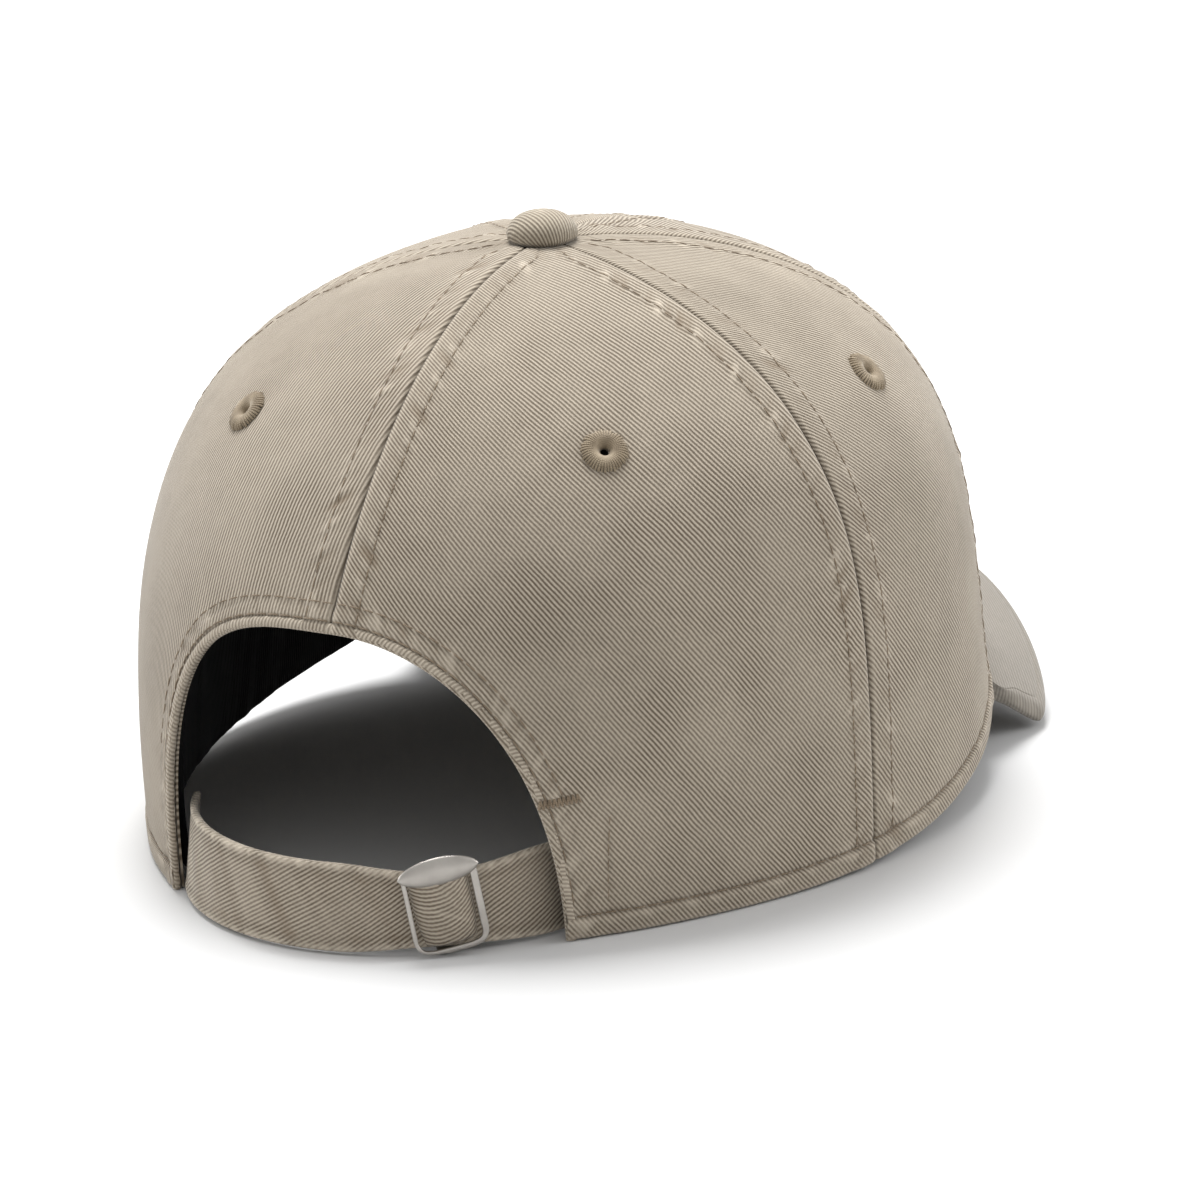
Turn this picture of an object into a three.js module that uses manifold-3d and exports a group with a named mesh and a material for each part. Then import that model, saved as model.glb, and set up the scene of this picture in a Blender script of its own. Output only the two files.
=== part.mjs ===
// Six-panel cotton baseball cap with a curved visor and a strap-and-buckle closure at the back.
// Millimetres, +Z up, visor towards -Y, wearer's left towards +X. The cap stands on z = 0 on the
// straight hem of its rear panels and on the two side corners of its visor.
// Around the crown, an angle of 0 is the centre of the back and 180 the centre of the front; positive
// angles go towards the wearer's right (-X). A height fraction of 0 is the hem and 1 the crown's top.
import * as THREE from 'three';
import { mergeVertices } from 'three/addons/utils/BufferGeometryUtils.js';
import Module from 'manifold-3d';

const wasm = await Module();
wasm.setup();

// ---- driving dimensions ----
const CENTRE_Y = 18;              // crown's centre, so that the whole cap's box is centred on the origin
const HALF_WIDTH = 84;            // crown at the hem, side to side
const HALF_LENGTH = 99;           // crown at the hem, front to back
const CROWN_HEIGHT = 115.7;       // outer top of the crown
const APEX_SHIFT = -2.6;          // the top sits a little ahead of the centre
const REAR_PINCH = 0.165;         // the strap draws the two rear corners in
const FRONT_LIFT = 33.8;          // hem height at the centre of the front
const FLAT_HEM = 55;              // degrees either side of the back where the hem lies flat
const LIFT_POWER = 1.5;
const RISE = [3.36, -0.45, -1.16];    // meridian exponents: mean, back-to-front change, side change
const ROUND = [1.91, 0.02, 0.29];
const BULGE = [-0.012, 0.038, -0.011];

const SIDE_REAR_SEAM = 80.3;      // angle of the seam between rear and side panels
const SIDE_FRONT_SEAM = 122.2;    // at the hem; it drifts forward on its way up
const SIDE_FRONT_DRIFT = 14;
const SEAM_GAP = 0.3;
const PANEL = 1.1;                // cloth thickness of a panel
const TAPE = 0.5;
const TAPE_WIDTH = 12;
const GAP = 0.3;                  // between pieces that lie face to face
const EASE = 0.5;                 // between curved layers
const STIFFENER = 0.6;

const OPENING_HEIGHT = 58.9;      // rear opening, above the hem
const OPENING_RIGHT = { half: 52.3, power: 2.02 };
const OPENING_LEFT = { half: 44, power: 3.2 };
const FACING_WIDTH = 8;

const BAND_HEIGHT = 32;           // sweatband
const BAND = 1.0;
const BAND_DEPTH = 4.6;           // its outer face, below the crown's outer surface
const PAD_DEPTH = 3.5;
const PAD = 0.6;

const VISOR_HALF = 75;            // half of the curved visor's chord
const VISOR_LINE = -74;           // the widest line, from the crown's centre
const VISOR_REACH = 65;           // from the widest line to the front edge
const VISOR_BACK = 145;           // behind that line the sides curve back in to the hem
const VISOR_TURN = 13.4;          // degrees of that curve
const VISOR_POWER = 1.35;
const VISOR_ROOT = 123.5;         // angle of the hem where the visor begins
const VISOR_RADIUS = 88;          // bend from side to side
const VISOR_SLOPE = 0.42;
const VISOR_GAP = 0.6;            // between the hem and the visor
const HEM_LAP = 1.2;              // the crown's hem hangs this far below the visor's top surface
const VISOR_CLOTH = 0.8;
const VISOR_BOARD = 1.8;

const BUTTON_RADIUS = 7.1;
const BUTTON_HEIGHT = 5.6;
const EYELET_AT = 0.777;          // height fraction of the eyelets
const EYELET_RADIUS = 4.4;
const EYELET_CUT = 2.9;           // hole cut in the panel for the eyelet
const EYELET_HOLE = 1.1;
const RIM_CLEAR = 0.75;           // an eyelet's rims stand clear of the curved cloth

const STRAP_CENTRE = 57;          // centre of the strap's arc, from the crown's centre
const STRAP_RADIUS = 46;          // outer face at the hem
const STRAP_LEAN = 0.12;          // the outer face leans in with height
const STRAP = 1.4;
const STRAP_LOW = 0.4;
const STRAP_WAIST_LOW = 1.4;
const STRAP_END_HEIGHT = 17.4;
const STRAP_WAIST_HEIGHT = 14.4;
const STRAP_LEFT_END = -66.5;     // degrees about the strap's centre, positive to the wearer's right
const STRAP_RIGHT_END = 74;
const BUCKLE_AT = 38;
const BUCKLE_WIDTH = 15;
const BUCKLE_TOP = 19.4;
const RAIL = 1.5;
const RAIL_CLEAR = 1.0;           // lets the buckle rock on its bar
const BAR_RADIUS = 0.9;
const EYE_RADIUS = 1.9;
const TAB = 0.9;

const COLORS = { twill: 0x9a9182, shade: 0x8a7f6c, black: 0x141415, board: 0xd8d6cf, metal: 0xb9b5ac };

// ---- small helpers ----
const rad = THREE.MathUtils.degToRad;
const lerp = THREE.MathUtils.lerp;
const smooth = THREE.MathUtils.smoothstep;
const crown = new THREE.Group();
crown.position.y = CENTRE_Y;

function closeOutward(geometry) {
  const position = geometry.getAttribute('position');
  const index = Array.from(geometry.getIndex().array);
  const a = new THREE.Vector3();
  const b = new THREE.Vector3();
  const c = new THREE.Vector3();
  let volume = 0;
  for (let i = 0; i < index.length; i += 3) {
    a.fromBufferAttribute(position, index[i]);
    b.fromBufferAttribute(position, index[i + 1]);
    c.fromBufferAttribute(position, index[i + 2]);
    volume += a.dot(b.cross(c));
  }
  if (volume < 0) {
    for (let i = 0; i < index.length; i += 3) [index[i], index[i + 1]] = [index[i + 1], index[i]];
    geometry.setIndex(index);
  }
  return geometry;
}

// A closed sheet between two grids of points; place(u, v, side) gives the point with side 0 outer, 1 inner.
function sheet(place, across, along) {
  const points = [];
  const faces = [];
  const at = (i, j, side) => (side * (along + 1) + j) * (across + 1) + i;
  for (const side of [0, 1]) {
    for (let j = 0; j <= along; j++) {
      for (let i = 0; i <= across; i++) points.push(...place(i / across, j / along, side).toArray());
    }
  }
  const quad = (a, b, c, d) => faces.push(a, b, c, a, c, d);
  for (let j = 0; j < along; j++) {
    for (let i = 0; i < across; i++) {
      quad(at(i, j, 0), at(i + 1, j, 0), at(i + 1, j + 1, 0), at(i, j + 1, 0));
      quad(at(i, j, 1), at(i, j + 1, 1), at(i + 1, j + 1, 1), at(i + 1, j, 1));
    }
  }
  for (let i = 0; i < across; i++) {
    quad(at(i, 0, 1), at(i + 1, 0, 1), at(i + 1, 0, 0), at(i, 0, 0));
    quad(at(i, along, 0), at(i + 1, along, 0), at(i + 1, along, 1), at(i, along, 1));
  }
  for (let j = 0; j < along; j++) {
    quad(at(0, j, 0), at(0, j + 1, 0), at(0, j + 1, 1), at(0, j, 1));
    quad(at(across, j, 1), at(across, j + 1, 1), at(across, j + 1, 0), at(across, j, 0));
  }
  const geometry = new THREE.BufferGeometry();
  geometry.setAttribute('position', new THREE.Float32BufferAttribute(points, 3));
  geometry.setIndex(faces);
  return closeOutward(geometry);
}

function toSolid(geometry) {
  const bare = geometry.clone();
  bare.deleteAttribute('normal');
  bare.deleteAttribute('uv');
  const merged = mergeVertices(bare, 1e-4);
  const vertProperties = new Float32Array(merged.getAttribute('position').array);
  const triVerts = new Uint32Array(merged.getIndex().array);
  return new wasm.Manifold(new wasm.Mesh({ numProp: 3, vertProperties, triVerts }));
}

function toGeometry(solid) {
  const mesh = solid.getMesh();
  const geometry = new THREE.BufferGeometry();
  const points = Float32Array.from(mesh.vertProperties);
  geometry.setAttribute('position', new THREE.Float32BufferAttribute(points, 3));
  geometry.setIndex(Array.from(mesh.triVerts));
  return geometry;
}

const cut = (geometry, ...tools) =>
  toGeometry(tools.reduce((solid, tool) => solid.subtract(toSolid(tool)), toSolid(geometry)));
const join = (geometry, ...more) =>
  toGeometry(more.reduce((solid, other) => solid.add(toSolid(other)), toSolid(geometry)));

function material(color, metalness = 0, roughness = 0.9) {
  return new THREE.MeshStandardMaterial({ color, metalness, roughness });
}

function add(name, geometry, color, metalness, roughness) {
  const mesh = new THREE.Mesh(geometry, material(color, metalness, roughness));
  mesh.name = name;
  crown.add(mesh);
  return mesh;
}

function lathe(profile, segments) {
  const points = profile.map(([r, z]) => new THREE.Vector2(r, z));
  return new THREE.LatheGeometry(points, segments).rotateX(Math.PI / 2);
}

// Turns a shape made along +Z at the origin so that it stands on a place with the given outward direction.
function standOn(geometry, place, outward) {
  const turn = new THREE.Quaternion().setFromUnitVectors(new THREE.Vector3(0, 0, 1), outward);
  return geometry.applyQuaternion(turn).translate(place.x, place.y, place.z);
}

// ---- the crown's surface ----
const blend = ([mean, ends, sides], angle) => mean + ends * Math.cos(angle) + sides * Math.cos(2 * angle);

function hemPlan(angle) {
  const pinch = 1 - REAR_PINCH * Math.sin(angle) ** 2 * Math.cos(angle) * (1 + Math.cos(angle)) / 2;
  return new THREE.Vector2(-HALF_WIDTH * Math.sin(angle) * pinch, HALF_LENGTH * Math.cos(angle) * pinch);
}

// Height of the visor's top surface over a place in plan.
function visorHeight(x, y) {
  const sag = VISOR_RADIUS - Math.sqrt(VISOR_RADIUS ** 2 - x ** 2);
  return FRONT_LIFT + VISOR_SLOPE * (y + HALF_LENGTH) - sag;
}

// The hem lies flat at the back, rises towards the sides and follows the visor's curve across the front.
function hemHeight(angle) {
  const turned = Math.abs(THREE.MathUtils.euclideanModulo(angle + Math.PI, 2 * Math.PI) - Math.PI);
  const t = THREE.MathUtils.clamp((turned - rad(FLAT_HEM)) / (Math.PI - rad(FLAT_HEM)), 0, 1);
  const rise = FRONT_LIFT * Math.sin(t * Math.PI / 2) ** (2 * LIFT_POWER);
  const plan = hemPlan(angle);
  return lerp(rise, visorHeight(plan.x, plan.y) - HEM_LAP, smooth(turned, rad(95), rad(125)));
}

function surface(angle, height) {
  const h = Math.min(height, 1);
  const hem = hemHeight(angle);
  const reach = (1 - h ** blend(RISE, angle)) ** (1 / blend(ROUND, angle));
  const out = reach * (1 + blend(BULGE, angle) * 4 * h * (1 - h));
  const plan = hemPlan(angle);
  const y = APEX_SHIFT + (plan.y - APEX_SHIFT) * out;
  return new THREE.Vector3(plan.x * out, y, hem + (CROWN_HEIGHT - hem) * h);
}

function normalAt(angle, height) {
  const h = Math.min(height, 0.985);
  const step = 1e-3;
  const around = surface(angle + step, h).sub(surface(angle - step, h));
  const up = surface(angle, h + step).sub(surface(angle, Math.max(h - step, 0)));
  return around.cross(up).normalize();
}

// A point at a depth below the crown's outer surface. Near the hem the depth is taken level.
function under(angle, height, depth) {
  const normal = normalAt(angle, height);
  const level = new THREE.Vector3(normal.x, normal.y, 0).normalize();
  normal.lerp(level, 1 - smooth(height, 0, 0.15)).normalize();
  return surface(angle, height).addScaledVector(normal, -depth);
}

const evenHeight = (t) => 1 - (1 - t) ** 1.7;

const SEAMS = {
  back: () => 0,
  rear_right: () => rad(SIDE_REAR_SEAM),
  front_right: (h) => rad(SIDE_FRONT_SEAM + SIDE_FRONT_DRIFT * h * h),
  front: () => Math.PI,
  front_left: (h) => rad(-SIDE_FRONT_SEAM - SIDE_FRONT_DRIFT * h * h),
  rear_left: () => -rad(SIDE_REAR_SEAM),
};

// ---- the rear opening ----
const sweepAt = (height) => {
  const steps = 24;
  const table = [[0, 0]];
  let from = surface(0, height);
  for (let k = 1; k <= steps; k++) {
    const angle = rad(60) * k / steps;
    const to = surface(angle, height);
    table.push([table[k - 1][0] + Math.hypot(to.x - from.x, to.y - from.y), angle]);
    from = to;
  }
  return table;
};

function angleForArc(arc, height) {
  const table = sweepAt(height);
  const k = Math.max(1, table.findIndex(([length]) => length >= arc));
  const [a, b] = [table[k - 1], table[k]];
  return lerp(a[1], b[1], (arc - a[0]) / (b[0] - a[0]));
}

// A point on the opening's edge, moved out by a margin; t runs from 0 at the top centre to 1 at the hem.
function openingEdge(shape, t, margin = 0) {
  const turn = (1 - t) * Math.PI / 2;
  const arc = (shape.half + margin) * Math.cos(turn) ** (2 / shape.power);
  const z = (OPENING_HEIGHT + margin) * Math.sin(turn) ** (2 / shape.power);
  const height = z / CROWN_HEIGHT;
  return { angle: angleForArc(arc, height), height };
}

// ---- crown panels ----
const PANEL_TOP = 0.9985;

function plainPanel(from, to, across, along) {
  return sheet((u, v, side) => {
    const h = PANEL_TOP * evenHeight(v);
    const [a, b] = [SEAMS[from](h), SEAMS[to](h)];
    const span = b - a < 0 ? b - a + 2 * Math.PI : b - a;
    const reach = Math.max(surface(a, h).distanceTo(new THREE.Vector3(0, APEX_SHIFT, surface(a, h).z)), 2);
    const inset = SEAM_GAP / 2 / reach;
    return under(a + lerp(inset, span - inset, u), h, side * PANEL);
  }, across, along);
}

// A rear panel: its lower edge follows the opening and then the hem.
function rearPanel(sign, shape, openingSteps, hemSteps, along) {
  const columns = [];
  for (let k = 0; k <= openingSteps; k++) columns.push(openingEdge(shape, k / openingSteps));
  const corner = columns[openingSteps].angle;
  const seam = rad(SIDE_REAR_SEAM);
  for (let k = 1; k <= hemSteps; k++) columns.push({ angle: lerp(corner, seam, k / hemSteps), height: 0 });
  return sheet((u, v, side) => {
    const { angle, height } = columns[Math.round(u * (columns.length - 1))];
    const h = height + (PANEL_TOP - height) * evenHeight(v);
    const flat = surface(rad(40), h);
    const reach = Math.max(Math.hypot(flat.x, flat.y - APEX_SHIFT), 2);
    const inset = SEAM_GAP / 2 / reach;
    const placed = lerp(inset, seam - inset, angle / seam);
    return under(sign * placed, h, side * PANEL);
  }, columns.length - 1, along);
}

const EYELETS = {
  rear_right: 45.4, side_right: 102, front_right: 157,
  rear_left: -42.2, side_left: -102, front_left: -157,
};

function eyeletPlace(name, depth) {
  const angle = rad(EYELETS[name]);
  return { place: under(angle, EYELET_AT, depth), outward: normalAt(angle, EYELET_AT) };
}

function eyeletHole(name) {
  const { place, outward } = eyeletPlace(name, 0.5);
  const hole = new THREE.CylinderGeometry(EYELET_CUT, EYELET_CUT, 8, 16);
  return standOn(hole.rotateX(Math.PI / 2), place, outward);
}

// Thread wound over the edge of the hole: a ring with a rim outside and inside the cloth.
function eyelet(name) {
  const barrel = EYELET_CUT - GAP;
  const rim = 0.55;
  const out = PANEL / 2 + RIM_CLEAR;
  const profile = [
    [EYELET_HOLE, -out - rim], [EYELET_HOLE, out + rim * 0.6], [EYELET_HOLE + 0.9, out + rim],
    [EYELET_RADIUS - 0.5, out + rim * 0.8], [EYELET_RADIUS, out], [barrel, out], [barrel, -out],
    [EYELET_RADIUS - 0.6, -out], [EYELET_RADIUS - 0.6, -out - rim], [EYELET_HOLE, -out - rim],
  ];
  const { place, outward } = eyeletPlace(name, PANEL / 2);
  const ring = closeOutward(mergeVertices(lathe(profile, 16)));
  add(`eyelet_${name}`, standOn(ring, place, outward), COLORS.shade);
}

function panels() {
  const pieces = {
    rear_right: rearPanel(1, OPENING_RIGHT, 10, 5, 11),
    rear_left: rearPanel(-1, OPENING_LEFT, 10, 5, 11),
    side_right: plainPanel('rear_right', 'front_right', 7, 11),
    side_left: plainPanel('front_left', 'rear_left', 7, 11),
    front_right: plainPanel('front_right', 'front', 7, 11),
    front_left: plainPanel('front', 'front_left', 7, 11),
  };
  for (const [name, geometry] of Object.entries(pieces)) {
    add(`crown_panel_${name}`, cut(geometry, eyeletHole(name)), COLORS.twill);
    eyelet(name);
  }
}

// ---- layers inside the crown ----
const LAYER = PANEL + EASE;

function frontStiffener(name, from, to) {
  const inset = rad(5);
  const geometry = sheet((u, v, side) => {
    const h = lerp(0.02, 0.7, v);
    const a = SEAMS[from](h) + inset;
    const b = SEAMS[to](h) - inset;
    const span = b < a ? b - a + 2 * Math.PI : b - a;
    return under(a + span * u, h, LAYER + side * STIFFENER);
  }, 6, 8);
  add(name, geometry, COLORS.board);
}

const TAPE_BOW = 720;             // a tape bows this much less than the square of its width
const RIVET_HOLE = 2.2;

// A tape from one hem up over the crown's top and down to the opposite hem or opening. Where the three
// tapes cross near the top, level stacks them one below the other.
function seamTape(name, from, to, lowFrom, lowTo, level, frontDepth = 0) {
  const path = [];
  const climb = [0.997];
  for (let k = 11; k >= 0; k--) climb.unshift(evenHeight(k / 12));
  const depthAt = (angle, h) => {
    const apart = surface(angle, h).sub(new THREE.Vector3(0, APEX_SHIFT, CROWN_HEIGHT)).length();
    const stacked = level * (TAPE + EASE) * (1 - smooth(apart, 26, 42));
    const pushed = frontDepth * smooth(Math.abs(angle), rad(150), rad(170)) * (1 - smooth(h, 0.72, 0.8));
    return LAYER + 0.2 + stacked + pushed;
  };
  const step = (seam, low, t) => {
    const h = lerp(low, 1, t);
    const angle = SEAMS[seam](h);
    return { top: under(angle, h, depthAt(angle, h)), normal: normalAt(angle, h) };
  };
  for (const t of climb) path.push(step(from, lowFrom, t));
  for (const t of [...climb].reverse()) path.push(step(to, lowTo, t));
  const last = path.length - 1;
  const geometry = sheet((u, v, side) => {
    const k = Math.round(v * last);
    const along = path[Math.min(k + 1, last)].top.clone().sub(path[Math.max(k - 1, 0)].top).normalize();
    const across = along.clone().cross(path[k].normal).normalize();
    const down = along.clone().cross(across).normalize();
    if (down.dot(path[k].normal) > 0) down.negate();
    const bow = TAPE_WIDTH ** 2 / TAPE_BOW * (2 * u - 1) ** 2;
    const point = path[k].top.clone().addScaledVector(across, (u - 0.5) * TAPE_WIDTH);
    return point.addScaledVector(down, side * TAPE + bow);
  }, 2, last);
  const rivet = new THREE.CylinderGeometry(RIVET_HOLE, RIVET_HOLE, 30, 12).rotateX(Math.PI / 2);
  add(name, cut(geometry, rivet.translate(0, APEX_SHIFT, CROWN_HEIGHT)), COLORS.black);
}

function openingFacing() {
  const steps = 26;
  const geometry = sheet((u, v, side) => {
    const t = 2 * v - 1;
    const shape = t < 0 ? OPENING_LEFT : OPENING_RIGHT;
    const { angle, height } = openingEdge(shape, Math.abs(t), lerp(0.6, FACING_WIDTH, u));
    return under(Math.sign(t) * angle, height, LAYER + side * TAPE);
  }, 2, steps);
  add('rear_opening_facing', geometry, COLORS.shade);
}

// A band round the inside of the hem between two angles, going by way of the front.
function hemBand(name, start, end, low, tall, depth, thick, color, steps) {
  const geometry = sheet((u, v, side) => {
    const angle = lerp(start, end, v);
    const hem = hemHeight(angle);
    const h = (low + tall * u) / (CROWN_HEIGHT - hem);
    return under(angle, h, depth + side * thick);
  }, 3, steps);
  add(name, geometry, color);
}

const BAND_LOW = 0.8;             // above the crown's hem
const PIPING = 2;
const PAD_FROM = rad(72);
const BAND_FROM = rad(38);        // its ends stop short of the strap's ends
const BAND_TO = rad(360 - 36);

function linings() {
  const [from, to] = [BAND_FROM, BAND_TO];
  const pipingLow = BAND_LOW + BAND_HEIGHT + GAP;
  hemBand('sweatband', from, to, BAND_LOW, BAND_HEIGHT, BAND_DEPTH, BAND, COLORS.black, 48);
  hemBand('sweatband_piping', from, to, pipingLow, PIPING, BAND_DEPTH - 0.3, BAND + 0.6, COLORS.black, 48);
  hemBand('sweatband_padding', PAD_FROM, 2 * Math.PI - PAD_FROM, 3, 26, PAD_DEPTH, PAD, COLORS.board, 36);
}

function tapes() {
  const aboveOpening = (OPENING_HEIGHT + FACING_WIDTH + 1) / CROWN_HEIGHT;
  seamTape('seam_tape_center', 'back', 'front', aboveOpening, 0.02, 0, STIFFENER + EASE);
  seamTape('seam_tape_rear_left_to_front_right', 'rear_left', 'front_right', 0.02, 0.02, 1);
  seamTape('seam_tape_rear_right_to_front_left', 'rear_right', 'front_left', 0.02, 0.02, 2);
}

// ---- top button ----
const SKIRT = 0.9;                // straight side of the button below its dome
const BUTTON_CLOTH = 0.8;
const BUTTON_SHELL = 0.7;

function topButton() {
  const base = CROWN_HEIGHT + GAP;
  const domed = (radius, height, thick) => {
    const profile = [[0, height]];
    for (let k = 1; k <= 6; k++) {
      const turn = k / 6 * Math.PI / 2;
      profile.push([radius * Math.sin(turn) ** 0.8, SKIRT + (height - SKIRT) * Math.cos(turn)]);
    }
    profile.push([radius - 0.3, 0]);
    profile.push([radius - thick, 0]);
    for (let k = 6; k >= 1; k--) {
      const turn = k / 6 * Math.PI / 2;
      const z = SKIRT + (height - thick - SKIRT) * Math.cos(turn);
      profile.push([(radius - thick) * Math.sin(turn) ** 0.8, z]);
    }
    profile.push([0, height - thick]);
    return closeOutward(mergeVertices(lathe(profile, 24)));
  };
  const centre = (geometry) => geometry.translate(0, APEX_SHIFT, base);
  const inside = BUTTON_CLOTH + GAP;
  const shell = domed(BUTTON_RADIUS - inside, BUTTON_HEIGHT - inside, BUTTON_SHELL);
  add('button_cover', centre(domed(BUTTON_RADIUS, BUTTON_HEIGHT, BUTTON_CLOTH)), COLORS.twill);
  add('button_shell', centre(shell), COLORS.metal, 1, 0.4);
  const washer = -LAYER - 3 * (TAPE + EASE) - 0.9;
  const stem = [[0, 3], [1.2, 3], [1.2, washer], [3.6, washer], [3.6, washer - 0.8], [0, washer - 0.8]];
  add('button_rivet', centre(closeOutward(mergeVertices(lathe(stem, 16)))), COLORS.metal, 1, 0.4);
}

// ---- visor ----
// u runs from the crown to the visor's edge, v from the wearer's right corner round the front to the left.
function visorPoint(u, v, depth, edgeInset) {
  const turn = rad(lerp(-VISOR_TURN, 180 + VISOR_TURN, v));
  const power = (value) => Math.sign(value) * Math.abs(value) ** (2 / VISOR_POWER);
  const reach = Math.sin(turn) < 0 ? VISOR_BACK : VISOR_REACH - edgeInset;
  const edge = new THREE.Vector2(
    -(VISOR_HALF - edgeInset) * power(Math.cos(turn)),
    VISOR_LINE - reach * power(Math.sin(turn)),
  );
  const root = hemPlan(rad(lerp(VISOR_ROOT, 360 - VISOR_ROOT, v)));
  root.multiplyScalar(1 + VISOR_GAP / root.length());
  const plan = root.lerp(edge, u);
  const dx = plan.x / Math.sqrt(VISOR_RADIUS ** 2 - plan.x ** 2);
  const up = new THREE.Vector3(dx, -VISOR_SLOPE, 1).normalize();
  return new THREE.Vector3(plan.x, plan.y, visorHeight(plan.x, plan.y)).addScaledVector(up, -depth);
}

const BOARD_INSET = 2;            // from the covers' edge
const BOARD_END = 0.08;           // share of the visor's sweep left free at each of its corners

function visor() {
  const boardDepth = VISOR_CLOTH + GAP;
  const underDepth = boardDepth + VISOR_BOARD + GAP;
  const cover = (depth) => sheet((u, v, side) => visorPoint(u, v, depth + side * VISOR_CLOTH, 0), 5, 36);
  const board = sheet((u, v, side) => {
    return visorPoint(u, lerp(BOARD_END, 1 - BOARD_END, v), boardDepth + side * VISOR_BOARD, BOARD_INSET);
  }, 5, 30);
  add('visor_top_cover', cover(0), COLORS.twill);
  add('visor_board', board, COLORS.board);
  add('visor_under_cover', cover(underDepth), COLORS.twill);
}

// ---- strap, tab and buckle ----
const strapRadius = (z) => STRAP_RADIUS - STRAP_LEAN * z;

function onArc(degrees, radius, z) {
  const angle = rad(degrees);
  return new THREE.Vector3(-radius * Math.sin(angle), STRAP_CENTRE + radius * Math.cos(angle), z);
}

function strap() {
  const geometry = sheet((u, v, side) => {
    const degrees = lerp(STRAP_LEFT_END, STRAP_RIGHT_END, v);
    const away = smooth(Math.abs(degrees - BUCKLE_AT), 15, 30);
    const tall = lerp(STRAP_WAIST_HEIGHT, STRAP_END_HEIGHT, away);
    const low = lerp(STRAP_WAIST_LOW, STRAP_LOW, away);
    const z = low + tall * u;
    return onArc(degrees, strapRadius(z) - side * STRAP, z);
  }, 2, 44);
  add('strap', geometry, COLORS.twill);
}

const barDepth = STRAP + GAP + EYE_RADIUS + 0.5;   // clears the strap, which leans in at its top
const buckleMiddle = STRAP_WAIST_LOW + STRAP_WAIST_HEIGHT / 2;

// Local frame of the buckle: origin on the bar's axis at z = 0, X along the strap, -Y outward, +Z up.
function buckleFrame() {
  const frame = new THREE.Group();
  frame.position.copy(onArc(BUCKLE_AT, strapRadius(buckleMiddle) - barDepth, 0));
  frame.rotation.z = rad(BUCKLE_AT) + Math.PI;
  frame.updateMatrix();
  return frame.matrix;
}

const boxAt = (x0, x1, y0, y1, z0, z1) =>
  new THREE.BoxGeometry(x1 - x0, y1 - y0, z1 - z0).translate((x0 + x1) / 2, (y0 + y1) / 2, (z0 + z1) / 2);

const BUCKLE_LOW = 0.2;
const BUCKLE_SILL = 1.05;         // top of the bar below the strap
const BUCKLE_FRONT = 1.1;         // front to back of the frame
const LUG = 2;                    // half of the width of the lugs that carry the bar

function buckle() {
  const face = -(barDepth + RAIL_CLEAR);
  const front = face - BUCKLE_FRONT;
  const half = BUCKLE_WIDTH / 2;
  const head = STRAP_WAIST_LOW + STRAP_WAIST_HEIGHT + 0.8;
  const plateMiddle = BUCKLE_TOP - 2.9;
  const railTop = BUCKLE_TOP - 2;
  const lugTop = railTop - 0.1;
  const bar = new THREE.CylinderGeometry(BAR_RADIUS, BAR_RADIUS, lugTop - BUCKLE_LOW - 0.3, 12);
  const plate = new THREE.SphereGeometry(1, 16, 8).scale(half + 0.4, BUCKLE_FRONT, 2.8);
  const pieces = [
    boxAt(-half, -half + 1, front, face, BUCKLE_LOW, railTop),
    boxAt(half - RAIL, half, front, face, BUCKLE_LOW, railTop),
    boxAt(-half, half, front, face, BUCKLE_LOW, BUCKLE_SILL),
    boxAt(-half, half, front, face, head, railTop + 0.4),
    boxAt(-LUG, LUG, face - 1, BAR_RADIUS, BUCKLE_LOW, BUCKLE_SILL - 0.1),
    boxAt(-LUG, LUG, face - 1, BAR_RADIUS, head + 0.1, lugTop),
    bar.rotateX(Math.PI / 2).translate(0, 0, (lugTop + BUCKLE_LOW) / 2),
    plate.translate(0, front - 0.2, plateMiddle),
  ];
  add('buckle', join(...pieces).applyMatrix4(buckleFrame()), COLORS.metal, 1, 0.35);
}

// The fixed tab: a band from under the right rear panel to an eye round the buckle's bar.
function buckleTab() {
  const low = STRAP_WAIST_LOW + 0.8;
  const high = low + STRAP_WAIST_HEIGHT - 2;
  const radius = strapRadius(buckleMiddle) - STRAP - GAP - 0.5;
  const band = sheet((u, v, side) => {
    const degrees = lerp(BUCKLE_AT + 1.2, STRAP_RIGHT_END - 5, v);
    const near = 1 - smooth(v, 0, 0.16);
    const drop = near * (EYE_RADIUS - 1.35);
    return onArc(degrees, radius - drop - side * TAB, lerp(low, high, u));
  }, 1, 16);
  const upright = (radius, length, middle) =>
    new THREE.CylinderGeometry(radius, radius, length, 16).rotateX(Math.PI / 2)
      .translate(0, 0, middle).applyMatrix4(buckleFrame());
  const eye = upright(EYE_RADIUS, high - low, (low + high) / 2);
  const bore = upright(BAR_RADIUS + GAP, 40, 0);
  add('buckle_tab', cut(join(band, eye), bore), COLORS.twill);
}

panels();
openingFacing();
frontStiffener('front_stiffener_right', 'front_right', 'front');
frontStiffener('front_stiffener_left', 'front', 'front_left');
tapes();
linings();
topButton();
visor();
strap();
buckleTab();
buckle();

export default crown;
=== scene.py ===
import math

import bpy
import numpy as np
from mathutils import Matrix, Vector


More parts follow.
